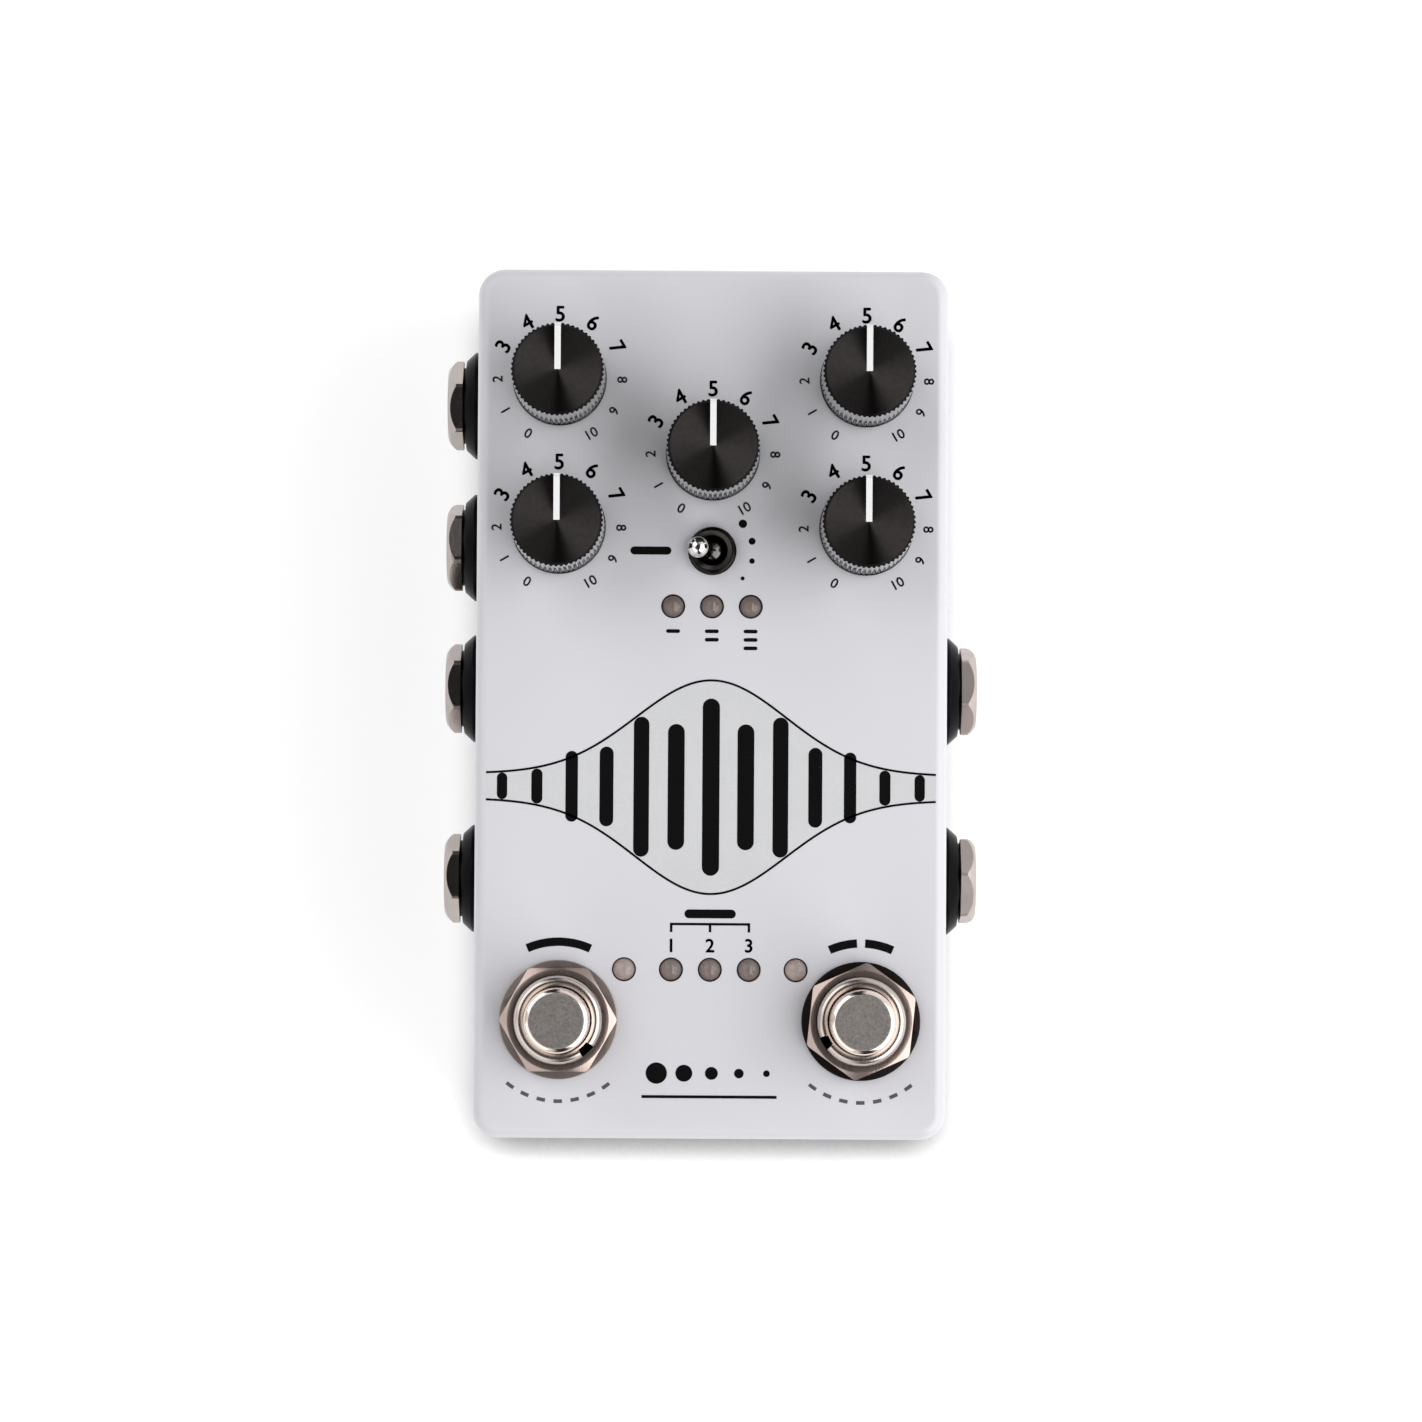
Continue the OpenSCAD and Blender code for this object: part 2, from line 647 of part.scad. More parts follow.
module pot_housing(p) {
    base = board_z + wafer_t;
    color("darkgray") translate([p.x, p.y, 0]) difference() {
        union() {
            translate([-pot_w / 2, -pot_l / 2, base]) cube([pot_w, pot_l, pot_top - base]);
            translate([0, 0, base]) cylinder(d = pot_collar_d, h = panel_z - pot_collar_drop - base);
        }
        translate([0, 0, base - past]) cylinder(d = shaft_d + 2 * run_gap, h = panel_z);
        translate([0, 0, base - past])
            cylinder(d = rotor_d + 2 * face_gap, h = past + rotor_t + 2 * face_gap);
    }
}

module pot_wafers() {
    color("saddlebrown") for (p = dial_at)
        translate([p.x - pot_w / 2, p.y - pot_l / 2, board_z]) cube([pot_w, pot_l, wafer_t]);
}

// Lever drawn upright about its pivot, with the stem that works the rocking contact below it
module toggle_lever() {
    color("silver") translate([toggle_at.x, toggle_at.y, lever_z]) rotate([0, -lever_tilt, 0]) {
        sphere(d = toggle_ball_d);
        cylinder(d1 = lever_neck_d, d2 = lever_tip_d, h = lever_len);
        translate([0, 0, lever_len]) sphere(d = lever_tip_d);
        translate([0, 0, -stem_len]) cylinder(d = lever_stem_d, h = stem_len);
        translate([0, 0, -stem_len]) sphere(d = lever_stem_d);
    }
}

module toggle_bushing() {
    top = panel_z + toggle_bush_top;
    color("silver") translate([toggle_at.x, toggle_at.y, 0]) difference() {
        union() {
            translate([-toggle_l / 2, -toggle_w / 2, plate_z]) cube([toggle_l, toggle_w, toggle_plate_t]);
            translate([0, 0, plate_z]) cylinder(d = toggle_bush_d, h = top - plate_z);
        }
        translate([0, 0, plate_z - past])
            cylinder(d = toggle_bore_d, h = top - toggle_lip_h - plate_z + past);
        translate([0, 0, plate_z]) cylinder(d = toggle_lip_d, h = top - plate_z + past);
    }
}

module toggle_housing() {
    inner_l = toggle_l - 2 * toggle_wall;
    inner_w = toggle_w - 2 * toggle_wall;
    ridge_t = toggle_wall;
    ridge_top = rocker_at - rocker_t / 2 - face_gap;
    color("navy") translate([toggle_at.x, toggle_at.y, 0]) {
        difference() {
            translate([-toggle_l / 2, -toggle_w / 2, board_z]) cube([toggle_l, toggle_w, plate_z - board_z]);
            translate([-inner_l / 2, -inner_w / 2, board_z + toggle_wall]) cube([inner_l, inner_w, toggle_h]);
        }
        translate([-ridge_t / 2, -inner_w / 2, board_z]) cube([ridge_t, inner_w, ridge_top - board_z]);
    }
}

module toggle_rocker() {
    rocker_w = toggle_w - 2 * toggle_wall - 2 * face_gap;
    color("goldenrod") translate([toggle_at.x, toggle_at.y, rocker_at]) rotate([0, rocker_tilt, 0])
        cube([rocker_l, rocker_w, rocker_t], center = true);
}

module lamp_lenses() {
    r = lamp_d / 2;
    color([0.75, 0.72, 0.68]) for (p = lamp_at) translate([p.x, p.y, flange_z]) {
        cylinder(d = lamp_flange_d, h = lamp_flange_t);
        rotate_extrude() edge_profile(r, lamp_flange_t + lamp_len, r, 0);
    }
}

function lead_at(p) = [for (side = [-1, 1]) [p.x, p.y + side * lead_pitch / 2]];
all_leads = [for (p = lamp_at) each lead_at(p)];

module lamp_leads() {
    color("silver") posts(all_leads, lead_d, board_low - solder_tail, flange_z);
}

module lamp_spacers() {
    color("dimgray") difference() {
        posts(lamp_at, spacer_d, board_z, flange_z);
        posts(all_leads, lead_d + 2 * lead_gap, board_z - past, flange_z + past);
    }
}

module button(p) {
    pin_d = spring_d - 2 * spring_wire - 2 * face_gap;
    color("lightgray") translate([p.x, p.y, 0]) {
        translate([0, 0, button_flange_z])
            rotate_extrude() edge_profile(button_r, panel_z + button_top - button_flange_z, button_edge_r, 0);
        translate([0, 0, button_flange_z]) cylinder(d = switch_bore_d - 2 * face_gap, h = button_flange_t);
        translate([0, 0, button_flange_z - button_travel]) cylinder(d = pin_d, h = button_travel + past);
    }
}

module switch_bushing(i) {
    r = bush_d / 2;
    bore_r = bush_bore_d / 2;
    h = panel_z + bush_top - switch_top;
    color("silver") translate([switch_at[i].x, switch_at[i].y, switch_top]) difference() {
        rotate_extrude() polygon([
            [bore_r, 0],
            [r, 0],
            [r, h - bush_bevel],
            [r - bush_bevel, h],
            [bore_r + bush_bevel / 2, h],
            [bore_r, h - bush_bevel / 2],
        ]);
        rotate(keyway_angle[i]) translate([r - keyway_depth, -keyway_w / 2, lock_nut_t])
            cube([r, keyway_w, h]);
    }
}

module switch_housing(p) {
    color([0.1, 0.1, 0.12]) translate([p.x, p.y, switch_z]) difference() {
        translate([-switch_w / 2, -switch_w / 2, 0]) cube([switch_w, switch_w, switch_h]);
        translate([0, 0, switch_floor]) cylinder(d = switch_bore_d, h = switch_h);
    }
}

// Centre line of a return spring, eight points a turn
spring_steps = round(8 * spring_turns);
spring_h = button_flange_z - spring_z - 2 * run_gap;
spring_line = [
    for (i = [0:spring_steps])
        let (a = 45 * i, z = spring_wire / 2 + (spring_h - spring_wire) * i / spring_steps)
            [spring_d / 2 * cos(a), spring_d / 2 * sin(a), z]
];
spring_sides = 6;
spring_gap = min([
    for (i = [0:spring_steps], j = [i + 5:1:spring_steps]) norm(spring_line[i] - spring_line[j])
]) - spring_wire;
echo(least_gap_between_spring_turns = spring_gap);

module return_spring(p) {
    points = [
        for (i = [0:spring_steps], j = [0:spring_sides - 1])
            let (a = 45 * i, b = 360 * j / spring_sides)
                spring_line[i] + spring_wire / 2 * [cos(b) * cos(a), cos(b) * sin(a), sin(b)]
    ];
    function ring(i, j) = i * spring_sides + j % spring_sides;
    faces = [
        for (i = [0:spring_steps - 1], j = [0:spring_sides - 1]) each [
            [ring(i, j), ring(i, j + 1), ring(i + 1, j)],
            [ring(i, j + 1), ring(i + 1, j + 1), ring(i + 1, j)],
        ],
        for (j = [1:spring_sides - 2]) [ring(0, 0), ring(0, j + 1), ring(0, j)],
        for (j = [1:spring_sides - 2])
            [ring(spring_steps, 0), ring(spring_steps, j), ring(spring_steps, j + 1)],
    ];
    color("silver") translate([p.x, p.y, spring_z + run_gap]) polyhedron(points, faces);
}

module footswitch_nuts() {
    z = panel_z + washer_t;
    color("silver") for (i = [0, 1]) translate([switch_at[i].x, switch_at[i].y, z]) difference() {
        intersection() {
            rotate(nut_angle[i]) hex_prism(nut_flats, nut_t);
            cylinder(d1 = nut_crown_d + 2 * nut_t / tan(chamfer_angle), d2 = nut_crown_d, h = nut_t);
        }
        translate([0, 0, -past]) cylinder(d = bush_d + 2 * thread_gap, h = nut_t + 2 * past);
    }
}

module footswitch_washers() {
    color("gray") difference() {
        posts(switch_at, washer_d, panel_z, panel_z + washer_t);
        posts(switch_at, bush_d + 2 * hole_gap, panel_z - past, panel_z + washer_t + past);
    }
}

module footswitch_lock_nuts() {
    color("silver") difference() {
        for (p = switch_at) translate([p.x, p.y, switch_top]) hex_prism(nut_flats, lock_nut_t);
        posts(switch_at, bush_d + 2 * thread_gap, switch_top - past, under_z + past);
    }
}

module jack(i) {
    color([0.08, 0.08, 0.09]) at_jack(jack_at[i]) difference() {
        union() {
            translate([jack_rear, -jack_w / 2, -jack_h / 2]) cube([jack_front - jack_rear, jack_w, jack_h]);
            along_x(jack_nose_d, jack_front - past, jack_stack - jack_nose_short);
        }
        along_x(jack_bore_d, jack_rear + jack_end_wall, jack_stack + past);
        for (slot = contact_slots) translate([slot[0] - slot[1], -slot_w / 2, 0])
            cube([slot[1], slot_w, jack_h]);
    }
}

module jack_collars() {
    hole_d = jack_nose_d + 2 * hole_gap;
    reach = lean * collar_d;
    color([0.06, 0.06, 0.07]) for (jack = jack_at) at_jack(jack) difference() {
        rotate([0, 90, 0]) rotate_extrude() polygon([
            [hole_d / 2, -reach],
            [collar_d / 2, -reach],
            [collar_d / 2, collar_t - collar_taper],
            [collar_tip_d / 2, collar_t],
            [neck_d / 2, collar_t],
            [neck_d / 2, collar_t + neck_t],
            [hole_d / 2, collar_t + neck_t],
        ]);
        rotate([0, -lean_angle, 0]) translate([seat_gap - collar_d, -collar_d, -collar_d])
            cube([collar_d, 2 * collar_d, 2 * collar_d]);
    }
}

module jack_nuts() {
    foot_d = jack_crown_d + 2 * jack_nut_t / tan(chamfer_angle);
    color("silver") for (jack = jack_at) at_jack(jack) translate([collar_t + neck_t, 0, 0]) rotate([0, 90, 0])
        difference() {
            intersection() {
                rotate(jack_nut_turn) hex_prism(jack_nut_flats, jack_nut_t);
                cylinder(d1 = foot_d, d2 = jack_crown_d, h = jack_nut_t);
            }
            translate([0, 0, -past]) cylinder(d = jack_nose_d + 2 * thread_gap, h = jack_nut_t + 2 * past);
        }
}

// Leaf springs beside the plug bore, held back as a plug holds them, each with a tail through the board
module jack_contacts() {
    bend_z = jack_bore_d / 2 + face_gap;
    root_z = bend_z + contact_rise;
    tail_z = jack_drop + board_t - seat_gap;
    color("goldenrod") for (jack = jack_at, slot = contact_slots) at_jack(jack) {
        front = slot[0] - seat_gap;
        bend_x = front - slot[1] / 2;
        rear = front - slot[1] + face_gap;
        translate([0, contact_w / 2, 0]) rotate([90, 0, 0]) linear_extrude(contact_w) polygon([
            [front, root_z],
            [bend_x, bend_z],
            [rear, bend_z + contact_lift],
            [rear, bend_z + contact_lift + contact_t],
            [bend_x, bend_z + contact_t],
            [front, root_z + contact_t],
        ]);
        translate([front - contact_t, -terminal_d / 2, root_z])
            cube([contact_t, terminal_d, tail_z - root_z]);
    }
}

module power_socket() {
    mouth = -power_nose_short;
    color([0.08, 0.08, 0.09]) at_power() difference() {
        union() {
            translate([-power_w / 2, power_front - power_depth, -power_h / 2])
                cube([power_w, power_depth, power_h]);
            along_y(power_nose_d, power_front - past, mouth);
        }
        along_y(power_bore_d, mouth - power_bore_depth, past);
    }
}

module power_socket_pin() {
    mouth = -power_nose_short;
    root = mouth - power_bore_depth;
    color("silver") at_power() along_y(power_pin_d, root, mouth - power_pin_short);
}

contact_tail_at = [
    for (jack = jack_at, slot = contact_slots)
        [jack[0] * (side_x(jack_z) + slot[0] - contact_t / 2), jack[1]]
];
main_terminal_at = concat(
    [for (p = dial_at, t = pot_terminal_at) p + t],
    [for (t = toggle_terminal_at) toggle_at + t]
);
switch_pin_at = [for (p = switch_at, t = switch_terminal_at) p + t];

module main_board() {
    hole_d = terminal_d + 2 * lead_gap;
    color("darkgreen") difference() {
        translate([0, 0, board_low]) linear_extrude(board_t) {
            translate([-board_w / 2, board_front]) square([board_w, board_rear - board_front]);
            translate([-tongue_w / 2, tongue_front]) square([tongue_w, board_rear - tongue_front]);
        }
        posts(main_terminal_at, hole_d, board_low - past, board_z + past);
        posts(contact_tail_at, hole_d, board_low - past, board_z + past);
        posts(power_terminal_at, hole_d, board_low - past, board_z + past);
        posts(header_at, hole_d, board_low - past, board_z + past);
        posts(all_leads, lead_d + 2 * lead_gap, board_low - past, board_z + past);
    }
}

module footswitch_board() {
    hole_d = terminal_d + 2 * lead_gap;
    color("darkgreen") difference() {
        translate([-board_w / 2, -board_rear, switch_z - board_t])
            cube([board_w, switch_board_l, board_t]);
        posts(switch_pin_at, hole_d, switch_z - board_t - past, switch_z + past);
        posts(header_at, hole_d, switch_z - board_t - past, switch_z + past);
    }
}

module board_header() {
    color([0.1, 0.1, 0.1]) translate([-header_l / 2, header_y - header_w / 2, switch_z])
        cube([header_l, header_w, board_low - switch_z]);
}

module board_chips() {
    color([0.12, 0.12, 0.13]) for (chip = chips)
        translate([chip[0].x - chip[1].x / 2, chip[0].y - chip[1].y / 2, board_z]) cube(chip[1]);
}

module solder_terminals() {
    switch_low = switch_z - board_t - solder_tail;
    color("silver") {
        posts(main_terminal_at, terminal_d, board_low - solder_tail, board_z);
        posts(power_terminal_at, terminal_d, board_low, board_z + solder_tail);
        posts(header_at, terminal_d, board_low, board_z + solder_tail);
        posts(header_at, terminal_d, switch_low, switch_z);
        posts(switch_pin_at, terminal_d, switch_low, switch_z);
    }
}

enclosure_body();
bottom_cover();
cover_screws();
rubber_feet();
for (i = [0:len(dials) - 1]) {
    knob(dial_at[i]);
    knob_screw(dial_at[i]);
    pot_shaft(dial_at[i]);
    pot_housing(dial_at[i]);
}
pot_wafers();
toggle_lever();
toggle_bushing();
toggle_housing();
toggle_rocker();
lamp_lenses();
lamp_leads();
lamp_spacers();
for (i = [0:len(switches) - 1]) {
    button(switch_at[i]);
    switch_bushing(i);
    switch_housing(switch_at[i]);
    return_spring(switch_at[i]);
}
footswitch_nuts();
footswitch_washers();
footswitch_lock_nuts();
for (i = [0:len(jacks) - 1]) {
    jack(i);
}
jack_collars();
jack_nuts();
jack_contacts();
power_socket();
power_socket_pin();
main_board();
footswitch_board();
board_header();
board_chips();
solder_terminals();
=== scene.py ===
import json
import math

import bpy
import numpy as np
from mathutils import Matrix, Vector


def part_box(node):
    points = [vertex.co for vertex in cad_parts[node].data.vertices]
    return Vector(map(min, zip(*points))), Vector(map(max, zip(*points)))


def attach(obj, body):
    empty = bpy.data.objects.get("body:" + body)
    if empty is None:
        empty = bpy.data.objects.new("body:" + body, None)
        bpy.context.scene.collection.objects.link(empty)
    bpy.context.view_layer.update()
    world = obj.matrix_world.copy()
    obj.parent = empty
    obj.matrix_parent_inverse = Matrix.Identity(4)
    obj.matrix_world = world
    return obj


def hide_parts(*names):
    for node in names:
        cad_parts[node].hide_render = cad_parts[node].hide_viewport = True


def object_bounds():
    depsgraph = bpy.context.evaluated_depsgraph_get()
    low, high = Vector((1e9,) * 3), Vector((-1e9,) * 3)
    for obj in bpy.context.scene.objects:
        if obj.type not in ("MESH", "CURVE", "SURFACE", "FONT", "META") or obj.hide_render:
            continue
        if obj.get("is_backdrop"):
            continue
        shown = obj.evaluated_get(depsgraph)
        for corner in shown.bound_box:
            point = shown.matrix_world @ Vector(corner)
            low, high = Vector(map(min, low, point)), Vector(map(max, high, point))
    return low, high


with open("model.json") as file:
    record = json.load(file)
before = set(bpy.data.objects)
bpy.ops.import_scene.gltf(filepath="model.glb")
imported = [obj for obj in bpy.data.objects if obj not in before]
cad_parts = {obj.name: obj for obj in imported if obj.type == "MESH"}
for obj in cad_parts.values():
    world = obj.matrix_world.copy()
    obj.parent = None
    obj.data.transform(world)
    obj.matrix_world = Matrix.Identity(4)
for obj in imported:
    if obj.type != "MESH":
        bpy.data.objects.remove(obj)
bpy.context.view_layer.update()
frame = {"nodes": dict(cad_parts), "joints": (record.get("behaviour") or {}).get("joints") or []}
mm = 0.001
dials = ("time", "blend", "feedback", "rate", "depth")
switches = ("bypass", "tap")
jacks = ("remote", "expression", "output_b", "output_a", "input_b", "input_a")


# Places taken from the frame, in millimetres
def ends(node):
    low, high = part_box(node)
    return np.array(low) / mm, np.array(high) / mm


def middle(node):
    return sum(ends(node)) / 2


panelZ = ends("enclosure_body")[1][2]
dialAt = {dial: middle(dial + "_knob") for dial in dials}
knobFoot = ends("time_knob")[0][2]
knobHigh = ends("time_knob")[1][2] - knobFoot
switchAt = {name: middle(name + "_button") for name in switches}
toggleAt = middle("toggle_bushing")
jackAt = {name: middle(name + "_jack") for name in jacks}
print("frame loaded, panel at", round(float(panelZ), 3), "mm")


# Shader maths: a wire is a socket that takes arithmetic, one Math node for each operator
class Wire:
    def __init__(self, finish, socket):
        self.finish = finish
        self.socket = socket

    def maths(self, operation, first, second):
        return self.finish.node("ShaderNodeMath", {"operation": operation}, {0: first, 1: second})

    def __add__(self, other):
        return self.maths("ADD", self, other)

    def __radd__(self, other):
        return self.maths("ADD", other, self)

    def __sub__(self, other):
        return self.maths("SUBTRACT", self, other)

    def __rsub__(self, other):
        return self.maths("SUBTRACT", other, self)

    def __mul__(self, other):
        return self.maths("MULTIPLY", self, other)

    def __rmul__(self, other):
        return self.maths("MULTIPLY", other, self)

    def __truediv__(self, other):
        return self.maths("DIVIDE", self, other)

    def __rtruediv__(self, other):
        return self.maths("DIVIDE", other, self)

    def __gt__(self, other):
        return self.maths("GREATER_THAN", self, other)


# A finish is a node tree under construction: a material, the world or a geometry modifier
class Finish:
    def __init__(self, tree):
        self.tree = tree
        self.tree.nodes.clear()

    # Settings are set first, then sockets by name or number; a wire becomes a link
    def node(self, kind, settings=None, sockets=None, out=0):
        made = self.tree.nodes.new(kind)
        for key, value in (settings or {}).items():
            if key == "stops":
                ramp = made.color_ramp.elements
                while len(ramp) < len(value):
                    ramp.new(1.0)
                for element, (place, colour) in zip(ramp, value):
                    element.position = place
                    element.color = colour
            else:
                setattr(made, key, value)
        for key, value in (sockets or {}).items():
            if isinstance(value, Wire):
                self.tree.links.new(value.socket, made.inputs[key])
            else:
                made.inputs[key].default_value = value
        return Wire(self, made.outputs[out]) if made.outputs else made

    # Object coordinates, stretched and turned where a scale is given
    def place(self, scale=None, turn=(0, 0, 0)):
        spot = self.node("ShaderNodeTexCoord", out="Object")
        if scale is None:
            return spot
        return self.node("ShaderNodeMapping", {}, {"Vector": spot, "Rotation": turn, "Scale": scale})

    # One of the three coordinates of a place
    def coordinate(self, number, place=None):
        return self.node("ShaderNodeSeparateXYZ", {}, {0: place or self.place()}, number)

    def noise(self, scale, detail=2.0, roughness=0.5, place=None):
        return self.node("ShaderNodeTexNoise", {}, {"Vector": place or self.place(), "Scale": scale,
                                                    "Detail": detail, "Roughness": roughness}, "Fac")

    def ramp(self, factor, *stops):
        stops = [(place, grey(colour)) for place, colour in stops]
        return self.node("ShaderNodeValToRGB", {"stops": stops}, {"Fac": factor})

    def blend(self, factor, first, second, kind="MIX"):
        return self.node("ShaderNodeMix", {"data_type": "RGBA", "blend_type": kind},
                         {0: factor, 6: first, 7: second}, 2)

    def bump(self, height, depth, strength):
        return self.node("ShaderNodeBump", {},
                         {"Height": height, "Distance": depth * mm, "Strength": strength})

    def surface(self, **sockets):
        named = {spell(key): value for key, value in sockets.items()}
        shader = self.node("ShaderNodeBsdfPrincipled", {}, named)
        self.node("ShaderNodeOutputMaterial", {}, {"Surface": shader})


# baseColor becomes the socket name Base Color
def spell(key):
    if key == "specular":
        return "Specular IOR Level"
    return "".join(" " + c if c.isupper() else c for c in key).title().replace("Ior", "IOR")


# A grey level or a colour as four numbers
def grey(value):
    if isinstance(value, (int, float)):
        return (value, value, value, 1.0)
    return (*value[:3], 1.0)


# A colour times one factor
def dimmed(colour, factor):
    return grey([factor * c for c in colour])


def startMaterial(name):
    made = bpy.data.materials.new(name)
    made.use_nodes = True
    return made, Finish(made.node_tree)


paint = {"colour": (0.70, 0.695, 0.73), "shade": (0.64, 0.636, 0.672), "peelScale": 1500, "peelDepth": 0.012,
         "grainScale": 6500, "cloudScale": 60, "roughness": 0.36, "coat": 0.15, "coatRoughness": 0.25}


# Satin powder coat: fine orange peel in the bump, faint mottle in colour and gloss
def powderCoat():
    made, f = startMaterial("powderCoat")
    peel = f.noise(paint["peelScale"], 3.0, 0.6)
    grain = f.noise(paint["grainScale"])
    cloud = f.noise(paint["cloudScale"], 3.0)
    colour = f.blend(0.35 * cloud + 0.25 * grain, grey(paint["colour"]), grey(paint["shade"]))
    f.surface(baseColor=colour, roughness=paint["roughness"] + 0.16 * (peel - 0.5),
              coatWeight=paint["coat"], coatRoughness=paint["coatRoughness"],
              normal=f.bump(peel + 0.4 * grain, paint["peelDepth"], 0.5))
    return made


inkLook = {"grainScale": 5200, "cloudScale": 240, "thin": 0.86, "lift": 0.003, "depth": 0.006,
           "roughness": 0.46, "specular": 0.05}


# Screen ink: dense colour with pinholes where the coat shows through, a little flatter than the coat
def ink(name, colour, pinhole, share):
    made, f = startMaterial(name)
    grain = f.noise(inkLook["grainScale"], 2.0, 0.7)
    cloud = f.noise(inkLook["cloudScale"])
    thin = [inkLook["thin"] * c + inkLook["lift"] for c in colour]
    tone = f.blend(0.5 * cloud, grey(colour), grey(thin))
    f.surface(baseColor=f.blend(grain > share, tone, grey(pinhole)),
              roughness=inkLook["roughness"] + 0.18 * grain, specular=inkLook["specular"],
              normal=f.bump(grain, inkLook["depth"], 0.4))
    return made


knobLook = {"black": 0.008, "worn": 0.04, "sideGrain": 2600, "wearScale": 700, "depth": 0.003,
            "coatIor": 1.3, "spun": (0.054, 0.0485, 0.0465), "dull": (0.035, 0.032, 0.0308),
            "topGrain": 1800, "topTurn": 0.25}


# Black anodised side: slight gloss changes along the teeth, worn to grey in a few places
def anodised():
    made, f = startMaterial("anodisedBlack")
    grain = f.noise(knobLook["sideGrain"], 3.0)
    wear = f.ramp(f.noise(knobLook["wearScale"], 4.0, 0.7), (0.0, 0.0), (0.66, 0.0), (0.78, 1.0))
    colour = f.blend(wear, grey(knobLook["black"]), grey(knobLook["worn"]))
    f.surface(baseColor=colour, roughness=0.1 + 0.08 * grain, specular=0.2, coatWeight=1.0,
              coatRoughness=0.06, coatIor=knobLook["coatIor"], normal=f.bump(grain, knobLook["depth"], 0.3))
    return made


# Spun top: turning marks stretch the gloss round the knob's own axis
def spunTop():
    made, f = startMaterial("spunBlack")
    grain = f.noise(knobLook["topGrain"], 3.0)
    colour = f.blend(grain, grey(knobLook["spun"]), grey(knobLook["dull"]))
    f.surface(baseColor=colour, roughness=0.36 + 0.06 * grain, metallic=1.0, anisotropic=1.0,
              anisotropicRotation=knobLook["topTurn"])
    return made


pointerLook = {"white": 0.86, "shade": 0.78, "grainScale": 3000, "depth": 0.004}


def whiteFill():
    made, f = startMaterial("pointerWhite")
    grain = f.noise(pointerLook["grainScale"])
    f.surface(baseColor=f.blend(grain, grey(pointerLook["white"]), grey(pointerLook["shade"])),
              roughness=0.42 + 0.1 * grain, normal=f.bump(grain, pointerLook["depth"], 0.4))
    return made


plating = {"cloud": 220, "lines": 300, "stretch": (14, 1, 3), "pits": 4200, "turn": (0.3, 0.2, 0.7),
           "depth": 0.004}


# Plated metal: tint drifts a little, hairlines and fine pits in the bump
def plated(name, tint, roughness, hairlines=0.3, drift=0.9):
    made, f = startMaterial(name)
    cloud = f.noise(plating["cloud"], 3.0)
    lines = f.noise(plating["lines"], 3.0, place=f.place(plating["stretch"], plating["turn"]))
    pits = f.noise(plating["pits"])
    f.surface(baseColor=f.blend(cloud, grey(tint), dimmed(tint, drift)), metallic=1.0,
              roughness=roughness + 0.08 * lines + 0.05 * cloud,
              normal=f.bump(lines + 0.5 * pits, plating["depth"], hairlines))
    return made


sided = {"cloud": 260, "lines": 420, "stretch": (9, 1, 2), "pits": 3800, "turn": (0.3, 0.2, 0.7),
         "depth": 0.004, "hairlines": 0.6, "leftDrift": 0.8, "rightDrift": 0.7}


# Plated hardware with painted light and shade: tint and roughness for each side, the tint standing in for how
# each side is lit
def sidedPlate(name, left, right, leftRough, rightRough):
    made, f = startMaterial(name)
    cloud = f.noise(sided["cloud"], 3.0)
    lines = f.noise(sided["lines"], 3.0, place=f.place(sided["stretch"], sided["turn"]))
    pits = f.noise(sided["pits"])
    onRight = f.coordinate(0) > 0.0
    # The two side tones differ as painted light and shade on one and the same metal
    leftPaintedTone = f.blend(cloud, grey(left), dimmed(left, sided["leftDrift"]))
    rightPaintedTone = f.blend(cloud, grey(right), dimmed(right, sided["rightDrift"]))
    rough = leftRough + (rightRough - leftRough) * onRight + 0.08 * pits + 0.05 * lines
    f.surface(baseColor=f.blend(onRight, leftPaintedTone, rightPaintedTone), metallic=1.0, roughness=rough,
              normal=f.bump(lines + 0.5 * pits, sided["depth"], sided["hairlines"]))
    return made


ground = {"side": (0.82, 0.71, 0.64), "light": (0.66, 0.61, 0.575), "dark": (0.36, 0.33, 0.31), "edge": 0.02,
          "stretch": (4200, 520, 420), "turn": (0, 0, 0.35), "blotchScale": 2600, "depth": 0.012}


# Nickel button: polished sides, a top that is ground in straight lines along y
def groundTop(top):
    made, f = startMaterial("groundNickel")
    onTop = f.coordinate(2) > (top - ground["edge"]) * mm
    lines = f.noise(1.0, 4.0, 0.65, f.place(ground["stretch"], ground["turn"]))
    blotch = f.noise(ground["blotchScale"], 3.0, 0.6)
    mottle = f.ramp(0.4 * lines + 0.6 * blotch, (0.36, ground["light"]), (0.62, ground["dark"]))
    f.surface(baseColor=f.blend(onTop, grey(ground["side"]), mottle), metallic=1.0,
              roughness=0.1 + onTop * (0.18 + 0.2 * lines) + 0.04 * blotch,
              normal=f.bump(lines * onTop + 0.15 * blotch, ground["depth"], 0.6))
    return made


mould = {"cloudScale": 180, "drift": 0.75}


# Moulded plastic: soft grain and a drift in gloss
def moulded(name, colour, roughness=0.4, grainScale=2400, depth=0.01, specular=0.4):
    made, f = startMaterial(name)
    grain = f.noise(grainScale, 3.0)
    cloud = f.noise(mould["cloudScale"], 3.0)
    tone = f.blend(cloud, grey(colour), dimmed(colour, mould["drift"]))
    f.surface(baseColor=tone, roughness=roughness + 0.14 * (grain - 0.5), specular=specular,
              normal=f.bump(grain, depth, 0.4))
    return made


feet = {"dark": 0.018, "light": 0.04, "grainScale": 1600, "depth": 0.03}


def rubber():
    made, f = startMaterial("footRubber")
    grain = f.noise(feet["grainScale"], 4.0, 0.65)
    f.surface(baseColor=f.blend(grain, grey(feet["dark"]), grey(feet["light"])), roughness=0.72 + 0.2 * grain,
              normal=f.bump(grain, feet["depth"], 0.6))
    return made


lensLook = {"clear": (0.74, 0.70, 0.68), "smoked": (0.57, 0.49, 0.455), "fade": 0.88, "cloudScale": 500,
            "outerX": 8.0, "through": 0.75, "ior": 1.42}


